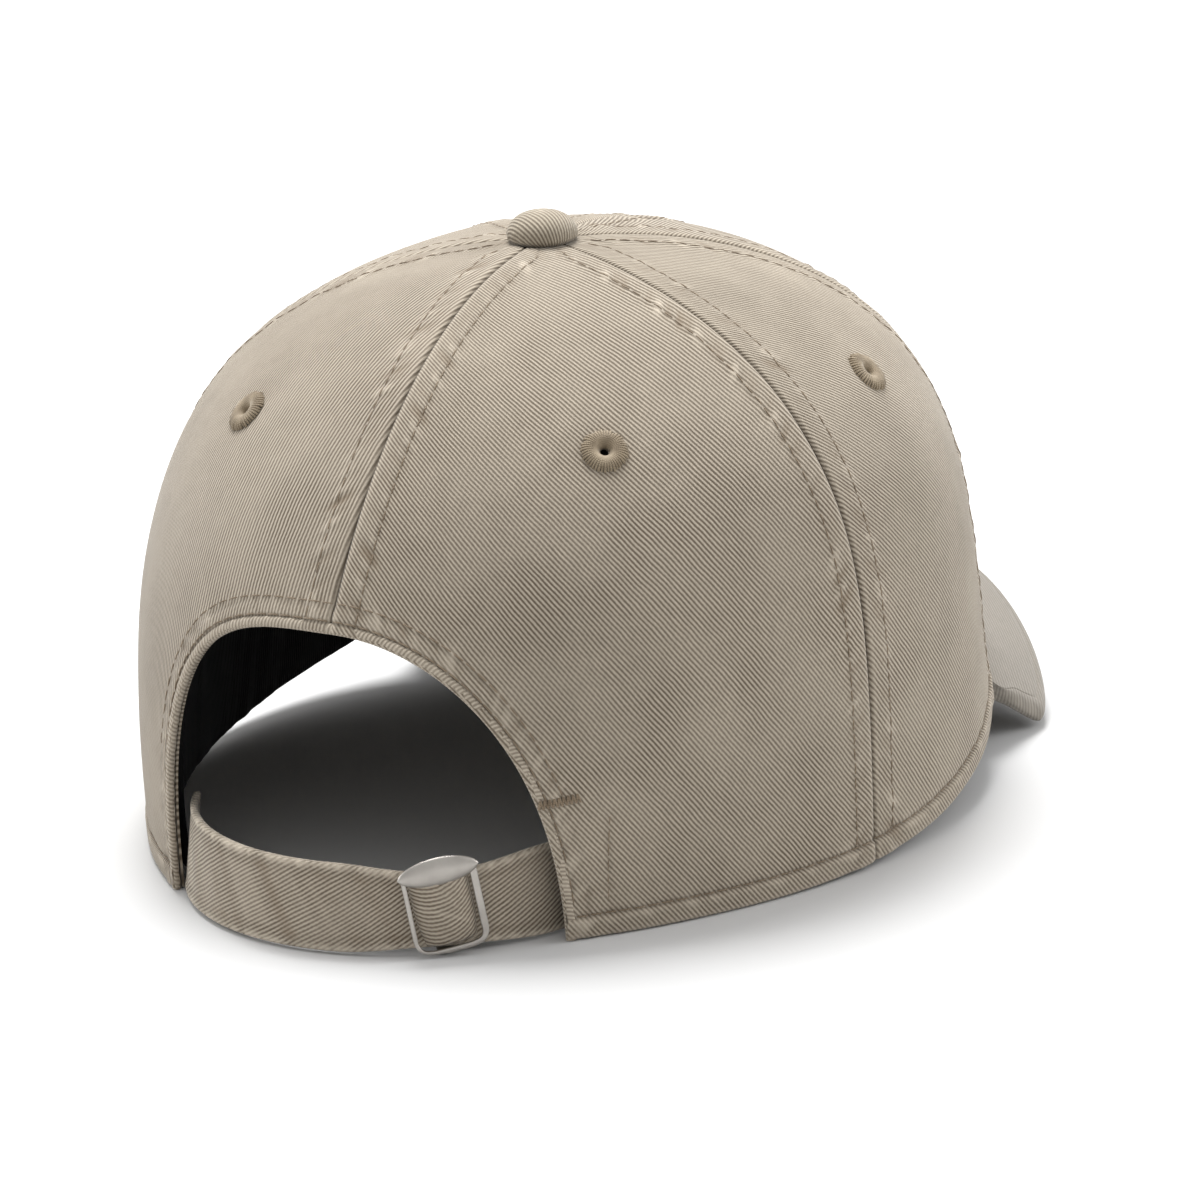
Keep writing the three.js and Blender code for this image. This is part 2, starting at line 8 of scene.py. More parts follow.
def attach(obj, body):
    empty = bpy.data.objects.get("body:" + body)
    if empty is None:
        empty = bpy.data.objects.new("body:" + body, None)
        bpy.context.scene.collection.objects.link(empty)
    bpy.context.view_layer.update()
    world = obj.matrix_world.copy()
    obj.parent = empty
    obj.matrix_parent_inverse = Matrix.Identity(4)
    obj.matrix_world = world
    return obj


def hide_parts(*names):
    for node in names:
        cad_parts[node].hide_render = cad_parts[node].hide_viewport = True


# The looks of a washed-twill baseball cap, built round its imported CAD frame. Lengths are millimetres in
# the crown's own frame (centred on y = 0) until a mesh is made, which moves them to the part's frame in
# metres. Round the crown, angle 0 is the centre of the back and grows towards the wearer's right (-X);
# a height fraction of 0 is the hem and 1 the top.

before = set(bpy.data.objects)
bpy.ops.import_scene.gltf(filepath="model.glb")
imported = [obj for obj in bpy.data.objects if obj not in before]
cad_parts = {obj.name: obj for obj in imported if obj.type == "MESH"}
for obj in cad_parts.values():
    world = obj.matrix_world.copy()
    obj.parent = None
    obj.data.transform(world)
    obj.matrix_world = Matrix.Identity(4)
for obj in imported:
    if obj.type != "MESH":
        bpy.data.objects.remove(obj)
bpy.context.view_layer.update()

MM = 0.001
rad = math.radians

# ---- the crown, as in the CAD ----
CENTRE_Y = 18
HALF_WIDTH = 84
HALF_LENGTH = 99
CROWN_HEIGHT = 115.7
APEX_SHIFT = -2.6
REAR_PINCH = 0.165
FRONT_LIFT = 33.8
FLAT_HEM = rad(55)
LIFT_POWER = 1.5
RISE = (3.36, -0.45, -1.16)
ROUND = (1.91, 0.02, 0.29)
BULGE = (-0.012, 0.038, -0.011)
REAR_MIDDLE = rad(40)               # a rear panel's middle
SIDE_REAR_SEAM = rad(80.3)
SIDE_FRONT_SEAM = rad(122.2)
SIDE_FRONT_DRIFT = rad(14)
PANEL = 1.1
PANEL_TOP = 0.9985
TAPE = 0.5
TAPE_WIDTH = 12
TAPE_BOW = 720
EASE = 0.5
LAYER = PANEL + EASE
STIFFENER = 0.6
OPENING_HEIGHT = 58.9
OPENING_RIGHT = (52.3, 2.02)       # half width and power of its curve
OPENING_LEFT = (44, 3.2)
FACING_WIDTH = 8
BAND_HEIGHT = 32
BAND = 1.0
BAND_DEPTH = 4.6
BAND_LOW = 0.8
BAND_FROM = rad(38)
BAND_TO = rad(324)
PIPING = 2
PAD_DEPTH = 3.5
PAD = 0.6
VISOR_HALF = 75
VISOR_LINE = -74
VISOR_REACH = 65
VISOR_BACK = 145
VISOR_TURN = rad(13.4)
VISOR_POWER = 1.35
VISOR_ROOT = rad(123.5)
VISOR_RADIUS = 88
VISOR_SLOPE = 0.42
VISOR_GAP = 0.6
VISOR_SPAN = 190                   # about the length of its edge
VISOR_THICK = 4.0
VISOR_CLOTH = 0.8
HEM_LAP = 1.2
BUTTON_RADIUS = 7.1
BUTTON_HEIGHT = 5.6
EYELET_AT = 0.777
EYELET_RADIUS = 4.4
EYELET_HOLE = 1.1
STRAP_CENTRE = 57
STRAP_RADIUS = 46
STRAP_LEAN = 0.12
STRAP = 1.4
STRAP_LOW = 0.4
STRAP_WAIST_LOW = 1.4
STRAP_END_HEIGHT = 17.4
STRAP_WAIST_HEIGHT = 14.4
STRAP_LEFT_END = -66.5
STRAP_RIGHT_END = 74
BUCKLE_AT = 38
BUCKLE_WIDTH = 15
BUCKLE_LEAN = rad(9)
BUCKLE_TOP = 19.4
BAR_DEPTH = 4.1
BAR_RADIUS = 0.9
EYE_RADIUS = 1.9
TAB = 0.9

# ---- cloth and stitching ----
RIB = 0.8                          # from one twill rib to the next
ROW = 5.6                          # a stitch row from its seam
FOLD = 4.3                         # hem fold
EDGE_ROW = 5.0                     # outer stitch row round the rear opening
EDGE_FOLD = 1.9                    # rolled edge of the rear opening
TACK_HEIGHT = 28
CORNER_ROW = 8.6                   # upright stitch row at the opening's corner
HEM_ROW_RIGHT = rad(36)            # the hem's stitches start beyond the opening's right corner
HEM_ROW_LEFT = rad(-31)            # and end beyond its left one
STITCH = 2.6
STITCH_GAP = 0.4
THREAD = 0.14
NARROWEST = 10                     # the least width passed as a flat sheet's size

EYELETS = {
    "rear_right": 45.4, "side_right": 102, "front_right": 157,
    "rear_left": -42.2, "side_left": -102, "front_left": -157,
}
TWILL_SLANT = {
    "rear_right": 51, "side_right": 53, "front_right": 50,
    "rear_left": 77, "side_left": 53, "front_left": 55,
}


# ---- numbers ----
def smooth(x, low, high):
    t = np.clip((x - low) / (high - low), 0, 1)
    return t * t * (3 - 2 * t)


def lerp(a, b, t):
    return a + (b - a) * t


def length_of(v):
    return np.linalg.norm(v, axis=-1)


def run_length(points):
    """The whole length of a run of points."""
    return np.sum(length_of(np.diff(points, axis=0)))


def lengths_along(points):
    """The length from the first of a run of points to each of them."""
    return np.concatenate([[0], np.cumsum(length_of(np.diff(points, axis=0)))])


def stacked(*parts):
    """Vectors from their separate coordinates."""
    return np.stack(np.broadcast_arrays(*parts), -1)


def signed_power(value, power):
    return np.sign(value) * np.abs(value) ** power


def turns_round(count):
    """Evenly spaced angles round a full turn."""
    return np.linspace(0, 2 * math.pi, count + 1)[:-1]


def unit(v):
    return v / np.maximum(length_of(v), 1e-9)[..., None]


def dip(x, at, width):
    return np.exp(-(((x - at) / width) ** 2))


def wave(s, size, seed):
    """A smooth wave along s, about size long, that doesn't repeat; it stays between about -1 and 1."""
    total = 0
    for k, stretch in enumerate((1.0, 0.63, 1.45, 2.3)):
        turn = 2 * math.pi * s / (size * stretch)
        total = total + np.sin(turn + seed * (k + 1) * 1.7 + 1.3 * np.sin(turn / (3 + k) + seed))
    return total / 2.7


def swell(places, size, seed):
    """A slow rise and fall over space, between about -1 and 1."""
    total = 0
    for k, way in enumerate(((1, 0.3, 0.5), (-0.4, 1, 0.3), (0.2, -0.5, 1), (0.8, 0.7, -0.6))):
        total = total + wave(places @ np.array(way), size * (1 + 0.3 * k), seed + k)
    return total / 3


def spaced(length, step, near):
    """Fractions of a length: at the near distances from both ends, and every step between."""
    near = np.array(near)
    middle = np.linspace(near[-1], length - near[-1], max(3, round((length - 2 * near[-1]) / step)))
    return np.concatenate([near[:-1], middle, length - near[-2::-1]]) / length


NEAR_SEAM = (0, 0.25, 0.5, 0.8, 1.2, 1.8, 2.5, 3.2, 4.0, 4.6, 5.1, 5.6, 6.1, 6.7, 7.5)
NEAR_HEM = (0, 0.12, 0.3, 0.55, 0.9, 1.5, 2.2, 3.0, 3.6, 4.0, 4.4, 4.8, 5.3, 6.0)


# ---- the crown's surface ----
def blend(terms, angle):
    return terms[0] + terms[1] * np.cos(angle) + terms[2] * np.cos(2 * angle)


def hem_plan(angle):
    cos = np.cos(angle)
    pinch = 1 - REAR_PINCH * np.sin(angle) ** 2 * cos * (1 + cos) / 2
    return -HALF_WIDTH * np.sin(angle) * pinch, HALF_LENGTH * cos * pinch


def visor_height(x, y):
    sag = VISOR_RADIUS - np.sqrt(VISOR_RADIUS**2 - x**2)
    return FRONT_LIFT + VISOR_SLOPE * (y + HALF_LENGTH) - sag


def hem_height(angle):
    turned = np.abs((angle + math.pi) % (2 * math.pi) - math.pi)
    t = np.clip((turned - FLAT_HEM) / (math.pi - FLAT_HEM), 0, 1)
    rise = FRONT_LIFT * np.sin(t * math.pi / 2) ** (2 * LIFT_POWER)
    x, y = hem_plan(angle)
    return lerp(rise, visor_height(x, y) - HEM_LAP, smooth(turned, rad(95), rad(125)))


def surface(angle, height):
    h = np.minimum(height, 1.0)
    hem = hem_height(angle)
    x, y = hem_plan(angle)
    reach = (1 - h ** blend(RISE, angle)) ** (1 / blend(ROUND, angle))
    out = reach * (1 + blend(BULGE, angle) * 4 * h * (1 - h))
    return np.stack([x * out, APEX_SHIFT + (y - APEX_SHIFT) * out, hem + (CROWN_HEIGHT - hem) * h], -1)


def normal_at(angle, height):
    h = np.minimum(height, 0.985)
    step = 1e-3
    around = surface(angle + step, h) - surface(angle - step, h)
    up = surface(angle, h + step) - surface(angle, np.maximum(h - step, 0))
    return unit(np.cross(around, up))


def under(angle, height, depth):
    """A point below the crown's outer surface; near the hem the depth is taken level."""
    angle, height, depth = np.broadcast_arrays(angle * 1.0, height * 1.0, depth * 1.0)
    normal = normal_at(angle, height)
    level = unit(normal * (1, 1, 0))
    normal = unit(lerp(normal, level, (1 - smooth(height, 0, 0.15))[..., None]))
    return surface(angle, height) - normal * depth[..., None]


def even_height(t):
    return 1 - (1 - t) ** 1.7


def seam_angle(name, height):
    drifting = SIDE_FRONT_SEAM + SIDE_FRONT_DRIFT * height**2
    return {
        "back": 0 * height, "front": math.pi + 0 * height,
        "rear_right": SIDE_REAR_SEAM + 0 * height, "rear_left": -SIDE_REAR_SEAM + 0 * height,
        "front_right": drifting, "front_left": -drifting,
    }[name]


def speed_around(angle, height):
    """Millimetres along the level section for each radian."""
    step = 1e-3
    return length_of(surface(angle + step, height) - surface(angle - step, height)) / (2 * step)


def level_arc(middle, angle, height, samples=8):
    """Length along the level section from a middle meridian to each angle."""
    total = 0
    for share in (np.arange(samples) + 0.5) / samples:
        total = total + speed_around(middle + (angle - middle) * share, height)
    return total / samples * (angle - middle)


def meridian_arc(middle, height):
    """Length up the middle meridian from the hem to each height fraction."""
    h = 1 - (1 - np.linspace(0, 1, 500)) ** 3
    points = surface(middle + 0 * h, h)
    lengths = lengths_along(points)
    return np.interp(height, h, lengths)


# ---- the rear opening ----
def angle_for_arc(arc, height):
    """The angle whose level arc from the back's centre has this length."""
    table = np.linspace(0, rad(60), 61)
    points = surface(table[None, :], height[:, None])
    lengths = np.concatenate([np.zeros((len(arc), 1)), np.cumsum(length_of(np.diff(points, axis=1)), 1)], 1)
    return np.array([np.interp(a, row, table) for a, row in zip(arc, lengths)])


def opening_edge(shape, t, margin=0.0):
    """Angle and height on half of the opening's edge, moved out by a margin; t runs from top to hem."""
    half, power = shape
    turn = (1 - t) * math.pi / 2
    arc = (half + margin) * np.cos(turn) ** (2 / power)
    height = (OPENING_HEIGHT + margin) * np.maximum(np.sin(turn), 0) ** (2 / power) / CROWN_HEIGHT
    return angle_for_arc(arc, height), height


def opening_at(t, margin):
    """The same round the whole opening: t is -1 at its left corner, 0 at the top and 1 at the right."""
    left_angle, left_height = opening_edge(OPENING_LEFT, np.abs(t), margin)
    right_angle, right_height = opening_edge(OPENING_RIGHT, np.abs(t), margin)
    return np.where(t < 0, -left_angle, right_angle), np.where(t < 0, left_height, right_height)


def opening_path(margin, start=-1.0, end=1.0, step=1.0):
    """Angles and heights every step millimetres round the opening, from its left corner at -1 to 1."""
    angle, height = opening_at(np.linspace(start, end, 500), margin)
    lengths = lengths_along(surface(angle, height))
    even = np.linspace(0, lengths[-1], max(3, round(lengths[-1] / step)))
    return np.interp(even, lengths, angle), np.interp(even, lengths, height)


class Line:
    """A line on the crown that cloth measures itself from."""

    def __init__(self, points):
        self.points = points
        self.lengths = lengths_along(points)
        self.ways = unit(np.gradient(points, axis=0))

    def measure(self, places):
        """Distance of each place from the line, and how far along the line it is."""
        flat = places.reshape(-1, 3)
        apart = (self.points**2).sum(1)[None, :] - 2 * flat @ self.points.T
        nearest = apart.argmin(1)
        offset = flat - self.points[nearest]
        along = (offset * self.ways[nearest]).sum(1)
        distance = np.sqrt(np.maximum((offset**2).sum(1) - along**2, 0))
        along = self.lengths[nearest] + along
        return distance.reshape(places.shape[:-1]), along.reshape(places.shape[:-1])


def seam_start(name):
    return OPENING_HEIGHT / CROWN_HEIGHT if name == "back" else 0


def seam_line(name):
    height = lerp(seam_start(name), 1.0, even_height(np.linspace(0, 1, 400)))
    return Line(surface(seam_angle(name, height), height))


SEAMS = ("back", "rear_right", "front_right", "front", "front_left", "rear_left")
PANEL_SEAMS = {
    "rear_right": ("back", "rear_right"), "side_right": ("rear_right", "front_right"),
    "front_right": ("front_right", "front"), "front_left": ("front", "front_left"),
    "side_left": ("front_left", "rear_left"), "rear_left": ("rear_left", "back"),
}
SEAM_LINES = {name: seam_line(name) for name in SEAMS}
EDGE_LINES = {
    "rear_right": Line(surface(*opening_path(0, 0, 1, 0.5))),
    "rear_left": Line(surface(*opening_path(0, -1, 0, 0.5))),
}


# ---- relief: how stitched and washed cloth stands off the plain surface, with its wear and painted shade ----
def row_offset(reach):
    """Stitch rows close in on their seam near the button."""
    return np.minimum(ROW, 0.42 * reach)


def beside_seam(distance, along, reach, seed):
    size = row_offset(reach) / ROW
    d = distance / np.maximum(size, 0.05)
    pucker = wave(along + 0.7 * distance, 6.0, seed) * (0.7 + 0.3 * wave(along, 31, seed + 5))
    near = dip(d, ROW - 0.4, 2.3)
    relief = 0.30 * smooth(d, 0.1, 1.5) * (1 - smooth(d, ROW - 0.1, ROW + 1.3))
    relief = relief - 0.42 * dip(d, 0, 0.36) - 0.16 * dip(d, ROW, 0.5) + 0.22 * pucker * near
    # The puckers are painted lighter on their crests and darker in their hollows (painted highlight and
    # shade); the ridge beside the seam is lighter with wear, and the band a little darker halfway to the
    # row.
    wear_and_shading = 1.0 * pucker * near + 0.35 * dip(d, 1.0, 0.7) - 0.2 * dip(d, 3.0, 1.4)
    # Painted shade in the seam's crease and along the stitch row.
    crease_shade = 0.95 * dip(d, 0, 0.3) + 0.3 * dip(d, ROW, 0.35)
    return relief * size, wear_and_shading * np.minimum(size * 1.2, 1), crease_shade


def beside_opening(distance, along, seed):
    pucker = wave(along + 0.5 * distance, 5.2, seed)
    near = dip(distance, EDGE_ROW - 0.5, 2.2)
    relief = 0.2 * (1 - smooth(distance, EDGE_ROW - 0.3, EDGE_ROW + 1.2)) + 0.17 * pucker * near
    relief = relief - 0.18 * dip(distance, EDGE_ROW, 0.5) - 0.3 * dip(distance, EDGE_FOLD, 0.4)
    # The puckers are painted lighter on their crests and darker in their hollows (painted highlight and
    # shade); the band beside the edge is lighter with wear.
    wear_and_shading = 0.6 * pucker * near + 0.3 * dip(distance, 2.6, 0.7)
    # Painted shade along the stitch row and in the rolled edge's fold.
    crease_shade = 0.3 * dip(distance, EDGE_ROW, 0.4) + 0.6 * dip(distance, EDGE_FOLD, 0.35)
    return relief, wear_and_shading, crease_shade


def beside_hem(up, along, seed):
    pucker = wave(along + 0.6 * up, 7.0, seed)
    near = dip(up, FOLD, 2.4)
    roll = 0.9
    inside = np.clip(roll - up, 0, roll)
    relief = 0.34 * (1 - smooth(up, FOLD - 0.5, FOLD + 0.3)) - 0.34 * dip(up, FOLD + 0.35, 0.5)
    relief = relief + 0.15 * pucker * near - (roll - np.sqrt(roll**2 - inside**2))
    # Painted highlight and shade on the puckers; the hem's foot and the fold's top are lighter with wear.
    wear_and_shading = 0.5 * pucker * near + 0.55 * dip(up, 0.3, 0.7) + 0.25 * dip(up, FOLD - 0.8, 0.6)
    # Painted shade in the crease above the fold.
    crease_shade = 0.75 * dip(up, FOLD + 0.3, 0.4)
    return relief, wear_and_shading, crease_shade


def beside_corner_row(angle, height, up):
    """The upright stitch row that closes the opening's right corner, below its bar tack."""
    apart = level_arc(0.0, angle, height) - OPENING_RIGHT[0] - CORNER_ROW
    low = 1 - smooth(up, TACK_HEIGHT - 4, TACK_HEIGHT - 2)
    row = dip(apart, 0, 0.5) * low
    beside = dip(apart, 0, 2.2) * low * wave(up, 5.5, 3)
    # The puckers beside the row get painted highlight and shade, and the row itself painted shade.
    return -0.2 * row + 0.12 * beside, 0.5 * beside, 0.3 * row


def eyelet_centre(name):
    return surface(np.array(rad(EYELETS[name])), np.array(EYELET_AT))


def beside_eyelet(name, base):
    distance = length_of(base - eyelet_centre(name))
    # A dimple round the eyelet, and a ring of painted shade just outside it.
    return -0.35 * dip(distance, 0, EYELET_RADIUS + 1), -0.2 * dip(distance, EYELET_RADIUS + 0.6, 1.0)


def panel_relief(name, angle, height):
    """Height above the plain surface, wear with painted highlights and shade (light +, dark -) and painted
    crease shade at points of a panel.
    """
    base = surface(angle, height)
    seed = 1 + list(EYELETS).index(name)
    up = height * (CROWN_HEIGHT - hem_height(angle))
    reach = np.hypot(base[..., 0], base[..., 1] - APEX_SHIFT)
    found = []
    for k, seam in enumerate(PANEL_SEAMS[name]):
        found.append(beside_seam(*SEAM_LINES[seam].measure(base), reach, seed + 3 * k))
    found.append(beside_hem(up, angle * HALF_WIDTH, seed))
    if name in EDGE_LINES:
        found.append(beside_opening(*EDGE_LINES[name].measure(base), seed))
        found.append(beside_corner_row(angle, height, up))
    relief = sum(f[0] for f in found)
    wear_and_shading = sum(f[1] for f in found)
    crease_shade = sum(f[2] for f in found)
    dimple, shade = beside_eyelet(name, base)
    relief = relief + dimple + 0.22 * swell(base, 46, seed)
    return relief, wear_and_shading + shade, np.minimum(crease_shade, 1)


# ---- meshes ----
def linked(name, data):
    """A new object in the scene."""
    obj = bpy.data.objects.new(name, data)
    bpy.context.scene.collection.objects.link(obj)
    return obj


def make(name, points, faces, weave, marks=(), sharp=55):
    """A smooth-shaded mesh from points in millimetres, with a weave UV in millimetres and marks of
    wear with painted highlights and shade, and of painted shade in creases."""
    mesh = bpy.data.meshes.new(name)
    placed = (np.asarray(points).reshape(-1, 3) + (0, CENTRE_Y, 0)) * MM
    mesh.from_pydata(placed.tolist(), [], faces)
    layer = mesh.uv_layers.new(name="weave")
    corners = np.zeros(len(mesh.loops), np.int32)
    mesh.loops.foreach_get("vertex_index", corners)
    layer.data.foreach_set("uv", np.asarray(weave, np.float32).reshape(-1, 2)[corners].ravel())
    for key, values in zip(("wear_and_shading", "crease_shade"), marks):
        attribute = mesh.attributes.new(key, "FLOAT", "POINT")
        values = np.broadcast_to(values, np.shape(points)[:-1])
        attribute.data.foreach_set("value", np.asarray(values, np.float32).ravel())
    mesh.polygons.foreach_set("use_smooth", [True] * len(mesh.polygons))
    mesh.set_sharp_from_angle(angle=rad(sharp))
    mesh.update()
    return linked(name, mesh)


def outward(points, faces):
    """The faces, turned so that the closed mesh's normals point out."""
    flat = np.asarray(points).reshape(-1, 3)
    quads = np.array([face[:3] for face in faces])
    a, b, c = flat[quads[:, 0]], flat[quads[:, 1]], flat[quads[:, 2]]
    volume = (np.cross(a - flat.mean(0), b - flat.mean(0)) * (c - flat.mean(0))).sum()
    return faces if volume > 0 else [face[::-1] for face in faces]


def shell(name, outer, inner, weave, marks=(), hole=None):
    """A closed sheet between two grids of points, with walls round its border and round its holes."""
    rows, cols = outer.shape[:2]
    count = rows * cols
    at = np.arange(count).reshape(rows, cols)
    kept = np.ones((rows - 1, cols - 1), bool) if hole is None else ~hole
    a, b, c, d = at[:-1, :-1], at[:-1, 1:], at[1:, 1:], at[1:, :-1]
    face_sets = [np.stack([a, b, c, d], -1)[kept], np.stack([a, d, c, b], -1)[kept] + count]
    ringed = np.pad(kept, 1)
    level = (at[:, :-1], at[:, 1:], ringed[:-1, 1:-1], ringed[1:, 1:-1])
    upright = (at[1:, :], at[:-1, :], ringed[1:-1, :-1], ringed[1:-1, 1:])
    for start, end, before, after in (level, upright):
        for edge, first, last in ((after & ~before, end, start), (before & ~after, start, end)):
            p, q = first[edge], last[edge]
            face_sets.append(np.stack([p, q, q + count, p + count], -1))
    faces = np.concatenate(face_sets).tolist()
    points = np.concatenate([outer.reshape(-1, 3), inner.reshape(-1, 3)])
    uv = np.concatenate([weave.reshape(-1, 2)] * 2)
    doubled = [np.append(np.broadcast_to(mark, (rows, cols)), np.zeros(count)) for mark in marks]
    return make(name, points, outward(points, faces), uv, doubled)


def tube(name, rings, weave, marks=(), closed=False, sharp=55):
    """A closed solid from rings of points; it joins end to end where closed, and is capped otherwise."""
    count, around = rings.shape[:2]
    at = np.arange(count * around).reshape(count, around)
    after = np.roll(at, -1, 1)
    if closed:
        nxt, nxt_after = np.roll(at, -1, 0), np.roll(after, -1, 0)
        quads = np.stack([at, after, nxt_after, nxt], -1).reshape(-1, 4).tolist()
    else:
        quads = np.stack([at[:-1], after[:-1], after[1:], at[1:]], -1).reshape(-1, 4).tolist()
        quads += [at[0, ::-1].tolist(), at[-1].tolist()]
    return make(name, rings, outward(rings, quads), weave, marks, sharp)


def cords(name, paths, facing, radius, sides=6):
    """Round threads, one along each path; facing is the cloth's outward direction at each point."""
    ways = unit(np.gradient(paths, axis=1))
    beside = unit(np.cross(ways, facing))
    above = np.cross(beside, ways)
    turns = np.arange(sides) * 2 * math.pi / sides
    circle = [np.cos(t) * beside + np.sin(t) * above for t in turns]
    rings = paths[:, :, None, :] + radius * np.stack(circle, 2)
    threads, stations = paths.shape[:2]
    at = np.arange(threads * stations * sides).reshape(threads, stations, sides)
    after = np.roll(at, -1, 2)
    quads = np.stack([at[:, :-1], after[:, :-1], after[:, 1:], at[:, 1:]], -1).reshape(-1, 4)
    first = rings[0, :2].reshape(-1, 3)
    a, b, c = (first[quads[:sides, k]] - first.mean(0) for k in range(3))
    if (np.cross(a, b) * c).sum() < 0:
        quads = quads[:, ::-1]
        caps = np.concatenate([at[:, 0], at[:, -1, ::-1]])
    else:
        caps = np.concatenate([at[:, 0, ::-1], at[:, -1]])
    lengths = np.cumsum(np.pad(length_of(np.diff(paths, axis=1)), ((0, 0), (1, 0))), 1)
    weave = stacked(lengths[:, :, None], turns)
    return make(name, rings, quads.tolist() + caps.tolist(), weave)


def stitched(name, lines, length=STITCH, gap=STITCH_GAP, radius=THREAD):
    """Rows of stitches; each line is a run of points on the cloth with its outward directions."""
    paths = []
    facing = []
    for points, normals in lines:
        lengths = lengths_along(points)
        starts = np.arange(gap, lengths[-1] - length, length + gap)
        for start in starts:
            s = start + length * np.array((0, 0.12, 0.5, 0.88, 1))
            here = np.stack([np.interp(s, lengths, points[:, k]) for k in range(3)], -1)
            out = unit(np.stack([np.interp(s, lengths, normals[:, k]) for k in range(3)], -1))
            paths.append(here + out * np.array((-0.3, 0.0, 0.07, 0.0, -0.3))[:, None])
            facing.append(out)
    return cords(name, np.array(paths), np.array(facing), radius)


def woven(across, along, slant):
    """Weave coordinates from flat-cloth ones: across the ribs and along them."""
    turn = rad(slant)
    return np.stack([across * math.sin(turn) + along * math.cos(turn),
                     across * math.cos(turn) - along * math.sin(turn)], -1)


# ---- materials ----
class Finish:
    """A material's nodes, with short calls for adding to them."""

    def __init__(self, name):
        self.material = bpy.data.materials.new(name)
        self.material.use_nodes = True
        self.tree = self.material.node_tree
        self.shader = self.tree.nodes["Principled BSDF"]

    def join(self, socket, value):
        if isinstance(value, bpy.types.NodeSocket):
            self.tree.links.new(value, socket)
        else:
            socket.default_value = value

    def add(self, kind, output=0, inputs=(), **settings):
        node = self.tree.nodes.new(kind)
        for key, value in settings.items():
            setattr(node, key, value)
        for key, value in dict(inputs).items():
            self.join(node.inputs[key], value)
        return node.outputs[output]

    def math(self, operation, a, b=0.0, clamp=False):
        return self.add("ShaderNodeMath", 0, {0: a, 1: b}, operation=operation, use_clamp=clamp)

    def ramp(self, value, low, high, to_low=0.0, to_high=1.0):
        inputs = {"Value": value, "From Min": low, "From Max": high, "To Min": to_low, "To Max": to_high}
        return self.add("ShaderNodeMapRange", 0, inputs)

    def mix(self, share, a, b, kind="MIX"):
        return self.add("ShaderNodeMix", 2, {0: share, 6: a, 7: b}, data_type="RGBA", blend_type=kind)

    def noise(self, place, scale, detail=2.0, stretch=(1, 1, 1)):
        moved = self.add("ShaderNodeMapping", 0, {"Vector": place, "Scale": stretch})
        return self.add("ShaderNodeTexNoise", "Fac", {"Vector": moved, "Scale": scale, "Detail": detail})

    def weave(self):
        return self.add("ShaderNodeUVMap", 0, uv_map="weave")

    def place(self):
        return self.add("ShaderNodeTexCoord", "Object")

    def mark(self, name):
        return self.add("ShaderNodeAttribute", "Fac", attribute_name=name)

    def bump(self, height, distance, strength=1.0, below=None):
        inputs = {"Height": height, "Distance": distance, "Strength": strength}
        if below is not None:
            inputs["Normal"] = below
        return self.add("ShaderNodeBump", 0, inputs)

    def set(self, **sockets):
        for key, value in sockets.items():
            self.join(self.shader.inputs[key.replace("_", " ")], value)
        return self.material


def rgb(red, green, blue):
    return (red, green, blue, 1.0)


